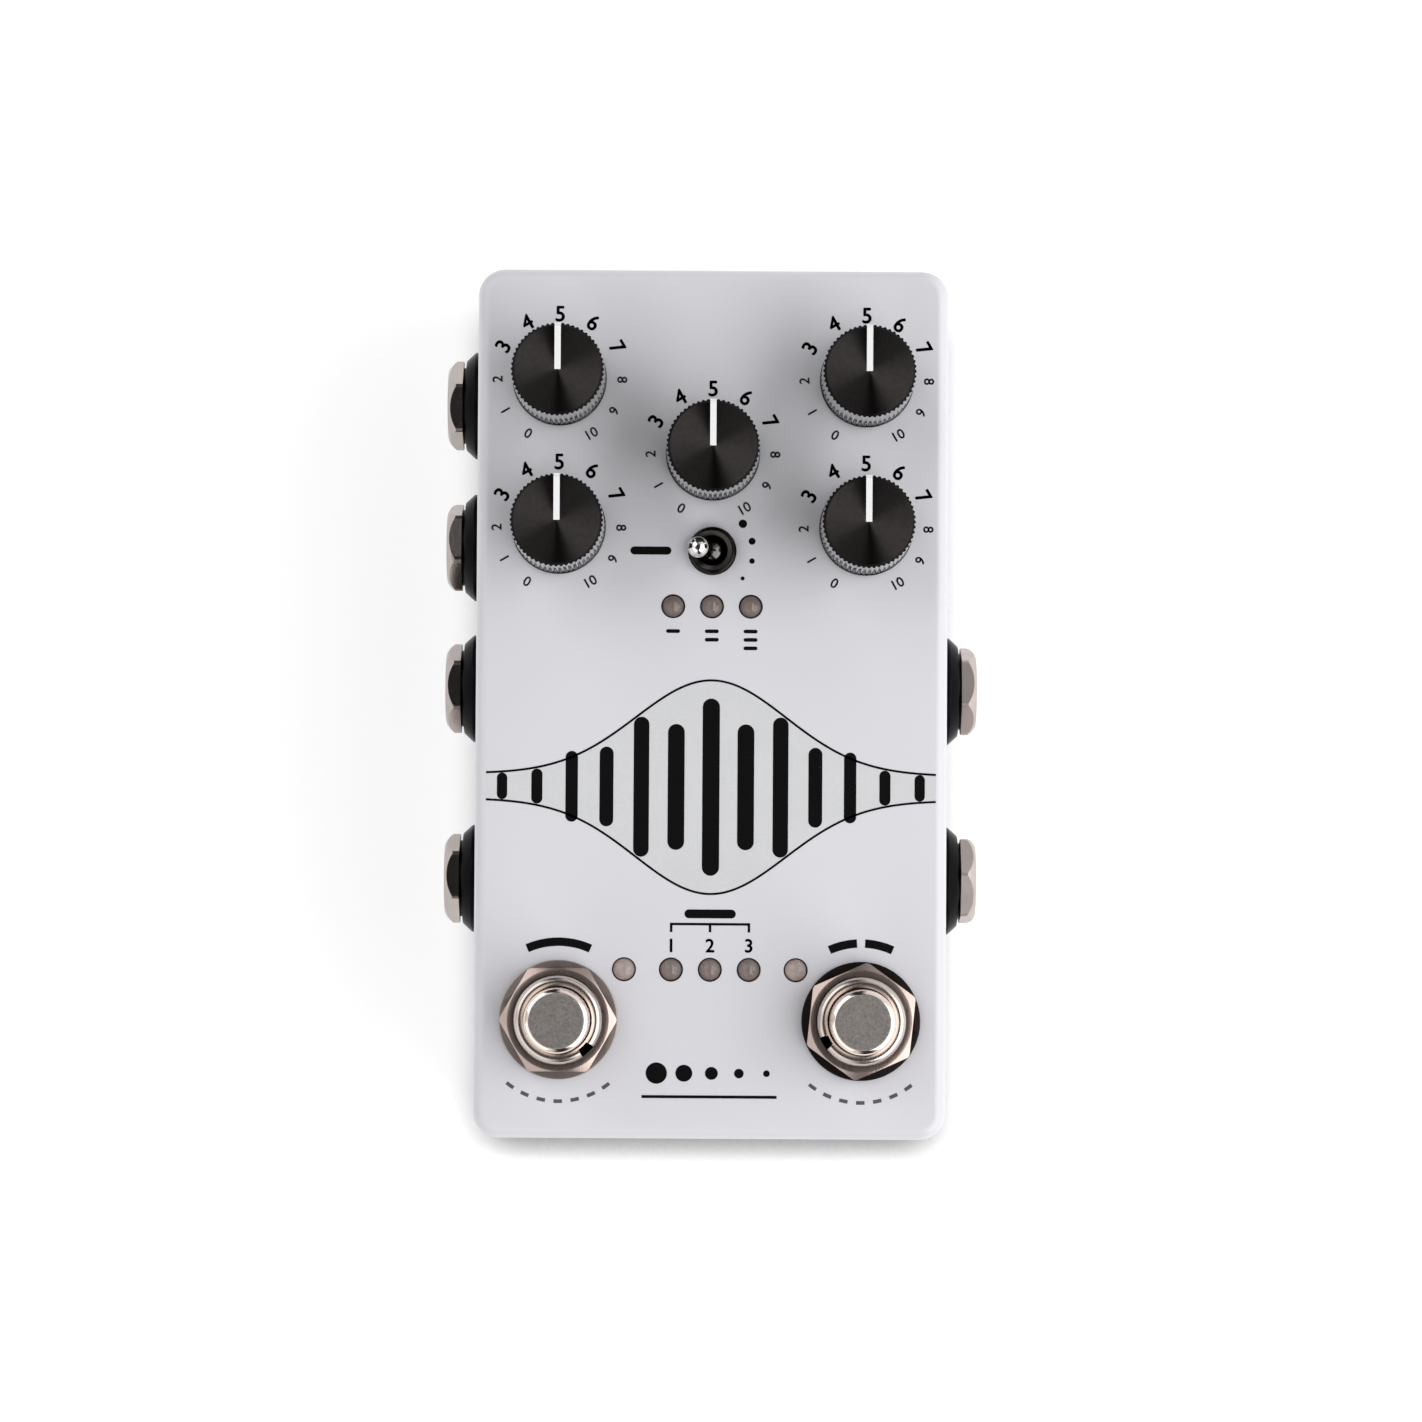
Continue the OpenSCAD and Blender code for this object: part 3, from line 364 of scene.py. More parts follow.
# Lens: faint warm tint, clear on the two outer lamps and a little smoked on the rest
def lensGlass():
    made, f = startMaterial("lensClear")
    cloud = f.noise(lensLook["cloudScale"])
    x = f.coordinate(0)
    outer = x * x > (lensLook["outerX"] * mm) ** 2
    tint = f.blend(outer, grey(lensLook["smoked"]), grey(lensLook["clear"]))
    fade = f.blend(cloud, grey(1.0), grey(lensLook["fade"]))
    f.surface(baseColor=f.blend(1.0, tint, fade, "MULTIPLY"), roughness=0.05 + 0.05 * cloud,
              transmissionWeight=lensLook["through"], ior=lensLook["ior"])
    return made


boardLook = {"mask": (0.012, 0.11, 0.04), "run": (0.03, 0.2, 0.07), "weaveScale": 900, "weaveBend": 0.5,
             "runScale": 160, "runWidth": 0.012, "depth": 0.01}


# Board: green mask over a weave, with copper runs showing as lighter bands
def solderMask():
    made, f = startMaterial("solderMask")
    weave = f.node("ShaderNodeTexWave", {"wave_type": "BANDS"},
                   {"Vector": f.place(), "Scale": boardLook["weaveScale"],
                    "Distortion": boardLook["weaveBend"]}, 1)
    runs = f.node("ShaderNodeTexBrick", {"offset": 0.5},
                  {"Vector": f.place(), "Scale": boardLook["runScale"],
                   "Mortar Size": boardLook["runWidth"]}, 1)
    f.surface(baseColor=f.blend(runs, grey(boardLook["mask"]), grey(boardLook["run"])),
              roughness=0.34 + 0.1 * weave, normal=f.bump(weave + 2 * runs, boardLook["depth"], 0.4))
    return made


looks = {
    "coat": powderCoat(),
    "blackInk": ink("inkBlack", (0.003, 0.003, 0.0034), (0.06, 0.06, 0.062), 0.74),
    "greyInk": ink("inkGrey", (0.10, 0.099, 0.104), (0.34, 0.34, 0.355), 0.72),
    "paleInk": ink("inkPale", (0.635, 0.638, 0.648), (0.68, 0.68, 0.70), 0.62),
    "anodised": anodised(),
    "spun": spunTop(),
    "rim": moulded("rimBlack", (0.006, 0.0058, 0.0058), 0.42, 2600, 0.003, specular=0.1),
    "pointer": whiteFill(),
    "nickel": plated("warmNickel", (0.62, 0.55, 0.51), 0.17, 0.6),
    # Jack nuts: the darker tint on the left side is painted shade, the lighter right side painted light
    "jackNickelPaintedSideShade": sidedPlate("jackNickelPaintedSideShade", (0.48, 0.43, 0.405), (0.66, 0.575, 0.535), 0.1, 0.34),
    "satin": plated("satinNickel", (0.50, 0.395, 0.36), 0.22, 0.9, 0.75),
    # Washers and lock nuts: near black on the right side, a painted dark reflection on plain nickel
    "washerNickelPaintedSideShade": sidedPlate("washerNickelPaintedSideShade", (0.40, 0.34, 0.315), (0.035, 0.028, 0.027), 0.3, 0.3),
    # Lever ball: the lever's chrome darkened, a painted shade for the ball down in the bushing's hole
    "ballNickelPaintedShade": plated("ballNickelPaintedShade", (0.11, 0.105, 0.1), 0.1),
    "blackNickel": plated("blackNickel", (0.034, 0.031, 0.03), 0.14),
    "chrome": plated("brightChrome", (0.80, 0.78, 0.76), 0.05, 0.15),
    "button": groundTop(ends("bypass_button")[1][2]),
    "zinc": plated("zincPlate", (0.62, 0.62, 0.64), 0.28, 0.5),
    "brass": plated("contactBrass", (0.80, 0.60, 0.28), 0.2),
    "tin": plated("tinnedLead", (0.70, 0.70, 0.70), 0.3, 0.5),
    "collar": moulded("collarBlack", (0.003, 0.003, 0.0034), 0.3, 1800, 0.006, specular=0.06),
    "black": moulded("mouldedBlack", (0.02, 0.02, 0.021), 0.42),
    "navy": moulded("mouldedNavy", (0.02, 0.04, 0.13), 0.4),
    "brown": moulded("phenolicBrown", (0.16, 0.075, 0.03), 0.5),
    "rubber": rubber(),
    "lens": lensGlass(),
    "mask": solderMask(),
    "rearCup": moulded("rearLampCup", (0.27, 0.2, 0.17), 0.5, 3000, 0.004),
    "innerCup": moulded("innerLampCup", (0.376, 0.297, 0.284), 0.5, 3000, 0.004),
    "outerCup": moulded("outerLampCup", (0.83, 0.64, 0.585), 0.5, 3000, 0.004),
    # Lead edge: a real part coloured pale as a painted highlight streak in each lamp
    "leadEdgePaintedHighlight": moulded("lampLeadEdgePaintedHighlight", (0.72, 0.66, 0.62), 0.3, 3000, 0.004),
}
print("materials made:", len(looks))

edges = {"weld": 0.0005, "smooth": 32, "flat": 0.4, "bevelFrom": 38, "bevelSteps": 3}


# Modifier tree: merges the loose triangles, then shades smooth up to an angle
def smoothTree(name):
    tree = bpy.data.node_groups.new(name, "GeometryNodeTree")
    for way in ("INPUT", "OUTPUT"):
        tree.interface.new_socket("Geometry", in_out=way, socket_type="NodeSocketGeometry")
    f = Finish(tree)
    shell = f.node("NodeGroupInput")
    shell = f.node("GeometryNodeMergeByDistance", {}, {"Geometry": shell, "Distance": edges["weld"] * mm})
    shell = f.node("GeometryNodeSetShadeSmooth", {"domain": "FACE"}, {0: shell, 2: True})
    bent = f.node("GeometryNodeInputMeshEdgeAngle") > math.radians(edges["smooth"])
    shell = f.node("GeometryNodeSetShadeSmooth", {"domain": "EDGE"}, {0: shell, 1: bent, 2: False})
    f.node("NodeGroupOutput", {}, {0: shell})
    return tree


softShade = smoothTree("softShade")


# CAD nodes keep their shape: triangles welded, flats joined, edges broken by a small bevel
def dress(names, look, edge=0.0):
    for name in names:
        node = frame["nodes"][name]
        node.data.materials.clear()
        node.data.materials.append(looks[look])
        if edge:
            weld = node.modifiers.new("weld", "WELD")
            weld.merge_threshold = edges["weld"] * mm
            flat = node.modifiers.new("flat", "DECIMATE")
            flat.decimate_type = "DISSOLVE"
            flat.angle_limit = math.radians(edges["flat"])
            bevel = node.modifiers.new("edge", "BEVEL")
            bevel.width = edge * mm
            bevel.segments = edges["bevelSteps"]
            bevel.limit_method = "ANGLE"
            bevel.angle_limit = math.radians(edges["bevelFrom"])
        shade = node.modifiers.new("shade", "NODES")
        shade.node_group = softShade


dress(["enclosure_body"], "coat")
dress(["bottom_cover"], "coat", 0.3)
dress(["cover_screws"], "zinc", 0.08)
dress(["rubber_feet"], "rubber", 0.5)
dress([d + "_knob_screw" for d in dials], "zinc")
dress([d + "_pot_shaft" for d in dials] + [d + "_pot_housing" for d in dials], "zinc")
dress(["pot_wafers"], "brown")
dress(["toggle_housing"], "navy", 0.15)
dress(["toggle_rocker", "jack_contacts"], "brass")
dress(["lamp_lenses"], "lens")
dress(["lamp_leads", "solder_terminals"], "tin")
dress(["lamp_spacers", "board_header", "board_chips"] + [s + "_switch_housing" for s in switches], "black")
dress(["footswitch_washers", "footswitch_lock_nuts"], "washerNickelPaintedSideShade", 0.12)
dress([s + "_return_spring" for s in switches], "zinc")
dress([j + "_jack" for j in jacks], "black", 0.12)
dress(["jack_collars"], "collar", 0.12)
dress(["power_socket"], "black", 0.15)
dress(["power_socket_pin"], "nickel", 0.2)
dress(["main_board", "footswitch_board"], "mask")
print("CAD nodes dressed")


# A shape is (points, quads, triangles) as arrays, in millimetres
# Rings of points joined to the next ring: a loop also joins the last to the first, otherwise both end rings
# close on their middle points
def skin(rows, loop=False):
    rings, count = rows.shape[:2]
    at = np.arange(rings * count).reshape(rings, count)
    here = at if loop else at[:-1]
    ahead = np.roll(at, -1, 0) if loop else at[1:]
    quads = np.stack([here, np.roll(here, -1, 1), np.roll(ahead, -1, 1), ahead], -1).reshape(-1, 4)
    points = rows.reshape(-1, 3)
    triangles = np.zeros((0, 3), int)
    caps = () if loop else ((0, -1), (-1, 1))
    for ring, way in caps:
        centre = np.full(count, len(points))
        points = np.vstack([points, rows[ring].mean(0)])
        fan = np.stack([at[ring], np.roll(at[ring], -1), centre], -1)
        triangles = np.vstack([triangles, fan[:, ::way]])
    corners = np.vstack([quads[:, :3], quads[:, [0, 2, 3]], triangles])
    a, b, c = (points[corners[:, i]] - points.mean(0) for i in range(3))
    if np.einsum("ij,ij->", a, np.cross(b, c)) < 0:
        quads, triangles = quads[:, ::-1], triangles[:, ::-1]
    return points, quads, triangles


# Rows of points as turn, radius and height
def polar(rows):
    return np.arctan2(rows[..., 1], rows[..., 0]), np.hypot(rows[..., 0], rows[..., 1]), rows[..., 2]


# And back: x = r cos t, y = r sin t
def spread(turn, radius, z):
    return np.stack([radius * np.cos(turn), radius * np.sin(turn), z], -1)


# Radius and height pairs carried round the z axis
def lathe(profile, sides):
    profile = np.asarray(profile, float)
    turn = np.arange(sides) * 2 * np.pi / sides
    return spread(turn, profile[:, :1], np.repeat(profile[:, 1:], sides, 1))


# Profile of a straight wall
def wallOf(r, heights):
    return np.stack([np.full(len(heights), r), heights], 1)


# Each inner corner b becomes the curve (1-t)^2 a + 2t(1-t) b + t^2 c, with a and c a radius away from it
def rounded(points, radius, steps):
    points = np.asarray(points, float)
    corner = points[1:-1]
    back, ahead = points[:-2] - corner, points[2:] - corner
    backLen, aheadLen = (np.linalg.norm(v, axis=1, keepdims=True) for v in (back, ahead))
    reach = np.minimum(radius, 0.45 * np.minimum(backLen, aheadLen))
    a, c = corner + back / backLen * reach, corner + ahead / aheadLen * reach
    t = np.linspace(0, 1, steps)[None, :, None]
    bend = (1 - t) ** 2 * a[:, None] + 2 * t * (1 - t) * corner[:, None] + t ** 2 * c[:, None]
    return np.vstack([points[:1], bend.reshape(-1, 2), points[-1:]])


# Corners of a square of half size one, and a flat outline at each of some heights
square = np.array([(-1, -1), (1, -1), (1, 1), (-1, 1)])


def levels(outline, heights):
    return np.stack([np.hstack([outline, np.full((len(outline), 1), z)]) for z in heights])


def moved(shape, offset, turn=None):
    points = shape[0] if turn is None else shape[0] @ np.asarray(turn, float).T
    return points + np.asarray(offset, float), shape[1], shape[2]


# Finish numbers of the quads and the triangles, by a rule on the radius and height of each face's middle
def finishWhere(shape, rule):
    points, *faces = shape
    middles = [points[face].mean(1) for face in faces]
    return [rule(np.hypot(m[:, 0], m[:, 1]), m[:, 2]).astype(int) for m in middles]


def added(name, data):
    made = bpy.data.objects.new(name, data)
    bpy.context.scene.collection.objects.link(made)
    return made


# Shapes joined into one object at the origin
# Marks give each shape's finish numbers, otherwise all faces have the first finish
def piece(name, shapes, finishes, body, replaced=(), sharp=edges["smooth"], marks=None):
    starts = np.cumsum([0] + [len(s[0]) for s in shapes])
    points = np.vstack([s[0] for s in shapes]) * mm
    quads = np.vstack([s[1] + n for s, n in zip(shapes, starts)])
    triangles = np.vstack([s[2] + n for s, n in zip(shapes, starts)])
    marks = marks or [[np.zeros(len(faces), int) for faces in s[1:]] for s in shapes]
    number = np.concatenate([m[0] for m in marks] + [m[1] for m in marks])
    mesh = bpy.data.meshes.new(name)
    mesh.from_pydata(points, [], quads.tolist() + triangles.tolist())
    mesh.polygons.foreach_set("material_index", number.astype(np.int32))
    mesh.polygons.foreach_set("use_smooth", np.ones(len(number), bool))
    mesh.set_sharp_from_angle(angle=math.radians(sharp))
    for finish in finishes:
        mesh.materials.append(looks[finish])
    made = added(name, mesh)
    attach(made, body)
    if replaced:
        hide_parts(*replaced)


knob = {"ringR": 6.45, "ringH": 0.7, "ringRound": 0.14, "r": 6.3, "core": 6.06, "bore": 3.05,
        "boreDeep": 10.3, "teeth": 56, "samples": 8, "power": 0.8, "toothFoot": 0.95, "toothRise": 0.25,
        "top": 5.86, "shoulder": 6.06, "bevel": 0.3, "flat": 5.56, "centre": 0.4, "dish": 0.25,
        "topRound": 0.1, "lip": 0.02, "slack": 0.05, "screwZ": 4.6, "screwR": 1.52, "screwDeep": 0.9,
        "rows": ((0.95, 2.9, 5), (3.0, 6.2, 27)), "lastRows": (6.6, 0.12, 8)}


# Height of the spun top, a cone that sinks by the dish from the rim to the middle
def topHeight(r):
    return knobHigh - knob["dish"] * (1 - r / knob["top"])


# Side radius = core + (r - core) * ((1 + cos(teeth * t)) / 2) ^ power, less a round recess for the set screw
# at t = 90 degrees; the rows of the wall stand closest beside that recess
def knobShape():
    k = knob
    foot = knobHigh - k["bevel"]
    first, under, count = k["lastRows"]
    heights = np.concatenate([np.linspace(*run) for run in (*k["rows"], (first, foot - under, count))])
    low = rounded([(k["bore"], k["boreDeep"]), (k["bore"], 0), (k["ringR"], 0), (k["ringR"], k["ringH"]),
                   (k["core"], k["ringH"] + k["slack"])], k["ringRound"], 4)
    crown = rounded([(k["r"], foot), (k["shoulder"], foot + k["lip"]), (k["top"], knobHigh)]
                    + [(k[key], topHeight(k[key])) for key in ("flat", "centre")], k["topRound"], 4)
    profile = np.vstack([low, wallOf(k["r"], heights), crown])
    turn, radius, z = polar(lathe(profile, k["teeth"] * k["samples"]))
    tooth = (0.5 + 0.5 * np.cos(k["teeth"] * turn)) ** k["power"]
    part = np.clip((z - k["toothFoot"]) / k["toothRise"], 0, 1) * (radius > k["shoulder"] + k["slack"])
    toothed = k["core"] + (radius - k["core"]) * tooth
    radius = radius + (toothed - radius) * part
    around = np.hypot((turn - np.pi / 2) * k["r"], z - k["screwZ"])
    radius = np.where((around < k["screwR"]) & (part > 0), k["core"] - k["screwDeep"], radius)
    return skin(spread(turn, radius, z))


# Finish of a knob face: 0 on the side, 1 on the spun top, 2 on the bevel round it
def knobFinish(r, z):
    onTop = (r < knob["top"] - knob["slack"]) & (z > topHeight(0) - knob["slack"])
    return np.where(onTop, 1, np.where(z > knobHigh - knob["bevel"] - knob["lip"], 2, 0))


pointer = {"wide": 0.84, "deep": 0.25, "proud": 0.02, "lift": 0.03, "round": 0.1}


# Pointer line: a strip across the top that follows the bevel down to the rim
def pointerShape():
    p = pointer
    foot = knobHigh - knob["bevel"] + p["lift"]
    path = rounded([(0, topHeight(0) + p["proud"]), (knob["top"], knobHigh + p["proud"]),
                    (knob["shoulder"] + p["lift"], foot), (knob["r"] - p["proud"], foot)], p["round"], 4)
    half = p["wide"] / 2
    ring = np.array([(-half, 0), (half, 0), (half, -p["deep"]), (-half, -p["deep"])])
    return skin(np.stack([np.tile(ring[:, 0], (len(path), 1)), np.repeat(path[:, :1], len(ring), 1),
                          path[:, 1:] + ring[:, 1]], -1))


knobTurned = knobShape()
knobMarks = finishWhere(knobTurned, knobFinish)
for dial in dials:
    at = (*dialAt[dial][:2], knobFoot)
    piece(dial + "_knob_turned", [moved(knobTurned, at)], ["anodised", "spun", "rim"], dial + "_dial",
          [dial + "_knob"], marks=[knobMarks])
    piece(dial + "_pointer", [moved(pointerShape(), at)], ["pointer"], dial + "_dial")
print("knobs made:", len(dials))


threadSlack = 0.02


# Screw thread: radius falls by depth * (1 - cos(2 pi z / pitch - t)) / 2 between two heights
def threaded(rows, outer, low, high, pitch, depth):
    turn, radius, z = polar(rows)
    onWall = radius > outer - threadSlack
    window = np.clip((z - low) / pitch * 2, 0, 1) * np.clip((high - z) / pitch * 2, 0, 1) * onWall
    return spread(turn, radius - window * depth * (0.5 - 0.5 * np.cos(2 * np.pi * z / pitch - turn)), z)


bushing = {"r": 6.0, "bore": 4.55, "high": 5.0, "below": 4.4, "pitch": 0.75, "depth": 0.3, "bevel": 0.75,
           "rim": ((5.72, 0.2), (5.22, 0.0), (4.8, 0.12), (4.55, 0.3)), "round": 0.3, "rows": 80,
           "sides": 240, "keyway": 1.8, "keyDeep": 1.1, "keyIn": 4.85,
           "keyAngle": {"bypass": -46, "tap": 210}}


# Threaded bushing with its rim broken on both edges and a keyway down one side
# The rim is given as radii and depths under the top
def bushingShape(keyAngle):
    b = bushing
    top = b["high"] - b["bevel"]
    rim = [(r, b["high"] - down) for r, down in b["rim"]]
    rim = rounded([(b["r"], top), *rim, (b["bore"], 0)], b["round"], 6)
    wall = wallOf(b["r"], np.linspace(-b["below"], top, b["rows"]))
    profile = np.vstack([wall, rim[1:], [(b["bore"], -b["below"])]])
    rows = threaded(lathe(profile, b["sides"]), b["r"], -b["below"], top, b["pitch"], b["depth"])
    turn, radius, z = polar(rows)
    off = np.abs((turn - math.radians(keyAngle) + np.pi) % (2 * np.pi) - np.pi) * b["r"]
    inKey = (off < b["keyway"] / 2) & (radius > b["keyIn"])
    radius = np.where(inKey, np.minimum(radius, b["r"] - b["keyDeep"]), radius)
    return skin(spread(turn, radius, z), loop=True)


for name in switches:
    shape = moved(bushingShape(bushing["keyAngle"][name]), (*switchAt[name][:2], panelZ))
    piece(name + "_bushing_threaded", [shape], ["nickel"], "chassis", [name + "_switch_bushing"])

cap = {"r": 4.45, "footR": 2.0, "edge": ((4.45, 0.95), (4.33, 0.32), (3.8, 0.02), (3.5, 0.0), (0.3, 0.008)),
       "round": 0.4, "sides": 144}


# Button: straight side, broad round edge, very slightly dished top
# The edge is given as radii and depths under the top
def buttonShape(low, high):
    edge = rounded([(cap["r"], low)] + [(r, high - down) for r, down in cap["edge"]], cap["round"], 7)
    return skin(lathe(np.vstack([[(cap["footR"], low)], edge]), cap["sides"]))


for name in switches:
    low, high = ends(name + "_button")
    shape = moved(buttonShape(low[2], high[2]), (*switchAt[name][:2], 0))
    piece(name + "_button_turned", [shape], ["button"], name + "_plunger", [name + "_button"])

nut = {"sides": 144, "blunt": 0.985, "inward": (0.0, 0.06, 0.18, 0.35, 0.55, 0.75, 0.9, 1.0), "footIn": 0.11,
       "footUp": 0.07, "edge": 0.05, "boreEdge": 0.1}


# Hex nut: outline radius = flats / 2 / cos(t to the nearest flat), its top falls away past the crown radius
# by drop * ((r - crown) / (corner - crown)) ^ power
def nutShape(n, turnDeg):
    angle = np.arange(nut["sides"]) * 2 * np.pi / nut["sides"]
    away = (angle - math.radians(turnDeg) + np.pi / 6) % (np.pi / 3) - np.pi / 6
    corner = n["flats"] / 2 / math.cos(math.pi / 6)
    outline = np.minimum(n["flats"] / 2 / np.cos(away), corner * nut["blunt"])
    radius = outline + (n["crown"] - outline) * np.array(nut["inward"])[:, None]
    fall = np.clip((radius - n["crown"]) / (corner - n["crown"]), 0, 1) ** n["power"]
    top = n["high"] - n["drop"] * fall
    edge = top[:1]
    low = np.vstack([0 * edge, 0 * edge + nut["footUp"], 0.5 * edge, edge - nut["edge"]])
    foot = outline - np.array([nut["footIn"], 0.0, 0.0, 0.0])[:, None]
    bore = np.array([n["bore"] + nut["boreEdge"], n["bore"], n["bore"]])[:, None] + 0 * angle
    boreZ = np.array([n["high"], n["high"] - nut["boreEdge"], 0.0])[:, None] + 0 * angle
    return skin(spread(angle, np.vstack([foot, radius, bore]), np.vstack([low, top, boreZ])), loop=True)


footNut = {"flats": 14.0, "high": 2.4, "bore": 6.06, "crown": 6.9, "drop": 0.5, "power": 1.0,
           "turn": {"bypass": 30, "tap": 54}}
washerTop = ends("footswitch_washers")[1][2]
footNuts = [moved(nutShape(footNut, footNut["turn"][s]), (*switchAt[s][:2], washerTop)) for s in switches]
piece("footswitch_nuts_turned", footNuts, ["satin"], "chassis", ["footswitch_nuts"])

jackNut = {"flats": 11.0, "high": 2.2, "bore": 4.55, "crown": 4.7, "drop": 1.35, "power": 1.7,
           "turn": {"remote": -8, "expression": 10.5, "output_b": 3.5, "output_a": 4.5, "input_b": -11,
                    "input_a": 21.5}}
# Turns +z to the left or the right side
outward = {-1: [[0, 0, -1], [0, 1, 0], [1, 0, 0]], 1: [[0, 0, 1], [0, 1, 0], [-1, 0, 0]]}
nutFoot = ends("jack_nuts")[1][0] - jackNut["high"]
jackNuts = []
for name in jacks:
    side = 1 if jackAt[name][0] > 0 else -1
    at = (side * nutFoot, *jackAt[name][1:])
    jackNuts.append(moved(nutShape(jackNut, jackNut["turn"][name]), at, outward[side]))
piece("jack_nuts_domed", jackNuts, ["jackNickelPaintedSideShade"], "chassis", ["jack_nuts"])
print("nuts and bushings made")

toggle = {"r": 3.17, "bore": 2.35, "plateT": 0.8, "bevel": 0.25, "pitch": 0.6, "depth": 0.16, "round": 0.08,
          "rim": ((2.97, 0.0), (2.75, 0.0), (2.05, 0.42), (2.05, 0.6), (2.35, 0.65)), "rows": 60,
          "sides": 120}


# Toggle bushing above its frame plate, threaded, with a rounded rim and an inner lip
# The rim is given as radii and depths under the top
def toggleBushing():
    t = toggle
    low, high = ends("toggle_bushing")
    foot = low[2] + t["plateT"]
    top = high[2] - t["bevel"]
    rim = [(r, high[2] - down) for r, down in t["rim"]]
    rim = rounded([(t["r"], top), *rim, (t["bore"], foot)], t["round"], 4)
    profile = np.vstack([wallOf(t["r"], np.linspace(foot, top, t["rows"])), rim[1:]])
    rows = threaded(lathe(profile, t["sides"]), t["r"], foot, top, t["pitch"], t["depth"])
    plate = levels(square * (high - low)[:2] / 2, (low[2], foot))
    return [skin(rows, loop=True), skin(plate)]


togglePieces = [moved(shape, (*toggleAt[:2], 0)) for shape in toggleBushing()]
piece("toggle_bushing_threaded", togglePieces, ["blackNickel"], "chassis", ["toggle_bushing"])

lever = {"ball": 2.2, "neck": 0.95, "tip": 1.425, "long": 9.0, "stem": 0.8, "end": 0.02, "neckFrom": 0.08,
         "sharp": 50, "sides": 72}


# Bat lever: round stem end, ball r = sqrt(R^2 - z^2), neck that widens to a half-round tip
# It is tilted about its pin
def leverShape():
    v = lever
    throw = next(j for j in frame["joints"] if j["name"] == "toggle_throw")
    pin = np.array(throw["pos_m"]) / mm
    tilt = math.radians(throw["range_deg"][1] / 2)
    stem = (pin[2] - ends("toggle_lever")[0][2] - v["stem"]) / math.cos(tilt)
    bend = np.linspace(v["end"], np.pi / 2, 14)
    foot = np.stack([v["stem"] * np.sin(bend), -stem - v["stem"] * np.cos(bend)], 1)
    below, above = (math.sqrt(v["ball"] ** 2 - v[key] ** 2) for key in ("stem", "neck"))
    z = np.linspace(-below, above, 28)
    ball = np.stack([np.sqrt(v["ball"] ** 2 - z ** 2), z], 1)
    rise = np.linspace(v["neckFrom"], 1, 14)[:, None]
    neck = ball[-1] + rise * (np.array([v["tip"], v["long"]]) - ball[-1])
    tip = np.stack([v["tip"] * np.cos(bend), v["long"] + v["tip"] * np.sin(bend)], 1)[:-1]
    end = [(v["end"], v["long"] + v["tip"])]
    upright = skin(lathe(np.vstack([foot, ball, neck, tip, end]), v["sides"]))
    c, s = math.cos(tilt), math.sin(tilt)
    leaning = moved(upright, pin, [[c, 0, -s], [0, 1, 0], [s, 0, c]])
    return leaning, finishWhere(upright, lambda r, z: z > above)


leverTurned, leverMarks = leverShape()
# The stem and ball take the darkened finish, a painted shade inside the bushing; the neck and tip take chrome
piece("toggle_lever_turned", [leverTurned], ["ballNickelPaintedShade", "chrome"], "toggle_lever_body", ["toggle_lever"],
      lever["sharp"], [leverMarks])

lamp = {"flange": 1.8, "pitch": 5.3, "inner": 5.3, "cupDown": 0.35, "sides": 48, "round": 0.1,
        "cup": ((0.02, 0.0), (0.792, -0.1), (1.44, 0.12), (1.44, -0.5)), "bar": (0.24, 0.9), "barLow": -0.05,
        "barHigh": 0.12, "barX": 0.22}
lensLow, lensHigh = ends("lamp_lenses")
outerLamp = lensHigh[0] - lamp["flange"]
rearLampY = lensHigh[1] - lamp["flange"]
frontLampY = lensLow[1] + lamp["flange"]
rearLamps = [(x, rearLampY) for x in (-lamp["pitch"], 0, lamp["pitch"])]
frontLamps = [(x, frontLampY) for x in (-outerLamp, -lamp["inner"], 0, lamp["inner"], outerLamp)]


# Under each lens a shallow cup, given as radii and heights, with a lead edge across it, pale as a painted
# highlight
def lampInside():
    top = panelZ - lamp["cupDown"]
    cup = skin(lathe(rounded([(r, top + z) for r, z in lamp["cup"]], lamp["round"], 4), lamp["sides"]))
    bar = skin(levels(square * lamp["bar"] / 2, (top + lamp["barLow"], top + lamp["barHigh"])))
    places = [(x, y, 0) for x, y in rearLamps + frontLamps]
    return [moved(cup, at) for at in places], [moved(bar, (at[0] + lamp["barX"], *at[1:])) for at in places]


cups, bars = lampInside()
rearCount = len(rearLamps)
piece("rear_lamp_cups", cups[:rearCount], ["rearCup"], "chassis")
piece("inner_lamp_cups", cups[rearCount + 1:-1], ["innerCup"], "chassis")
piece("outer_lamp_cups", [cups[rearCount], cups[-1]], ["outerCup"], "chassis")
piece("lamp_lead_edges_painted_highlight", bars, ["leadEdgePaintedHighlight"], "chassis")
print("lamps filled")

# Heights of the ink over the panel: its underside, and its top in each colour
inkLow = -0.01
inkTop = {"pale": 0.012, "grey": 0.02, "black": 0.028}
prints = {colour: [] for colour in inkTop}


# A flat band of ink between two lines of points
def band(left, right, colour):
    corners = ((left, inkLow), (right, inkLow), (right, inkTop[colour]), (left, inkTop[colour]))
    rows = np.stack([np.hstack([line, np.full((len(line), 1), panelZ + z)]) for line, z in corners], 1)
    prints[colour].append(skin(rows))


# A flat strip: a path with half the width to each side
def strip(path, width, colour):
    path = np.asarray(path, float)
    ahead = np.gradient(path, axis=0)
    across = np.stack([-ahead[:, 1], ahead[:, 0]], 1)
    across *= width / 2 / np.linalg.norm(across, axis=1, keepdims=True)
    band(path + across, path - across, colour)


# A filled outline, closed by a fan: only for outlines that their middle can see
def blot(outline, colour):
    prints[colour].append(skin(levels(outline, (panelZ + inkLow, panelZ + inkTop[colour]))))


# Points round a place, by clock angles in degrees
def ringOf(at, r, start=0.0, stop=360.0, steps=32, endpoint=False):
    turn = np.radians(np.linspace(start, stop, steps, endpoint=endpoint))
    return np.stack([at[0] + r * np.sin(turn), at[1] + r * np.cos(turn)], 1)


def spotOn(at, r, angle):
    return ringOf(at, r, angle, angle, 1)[0]


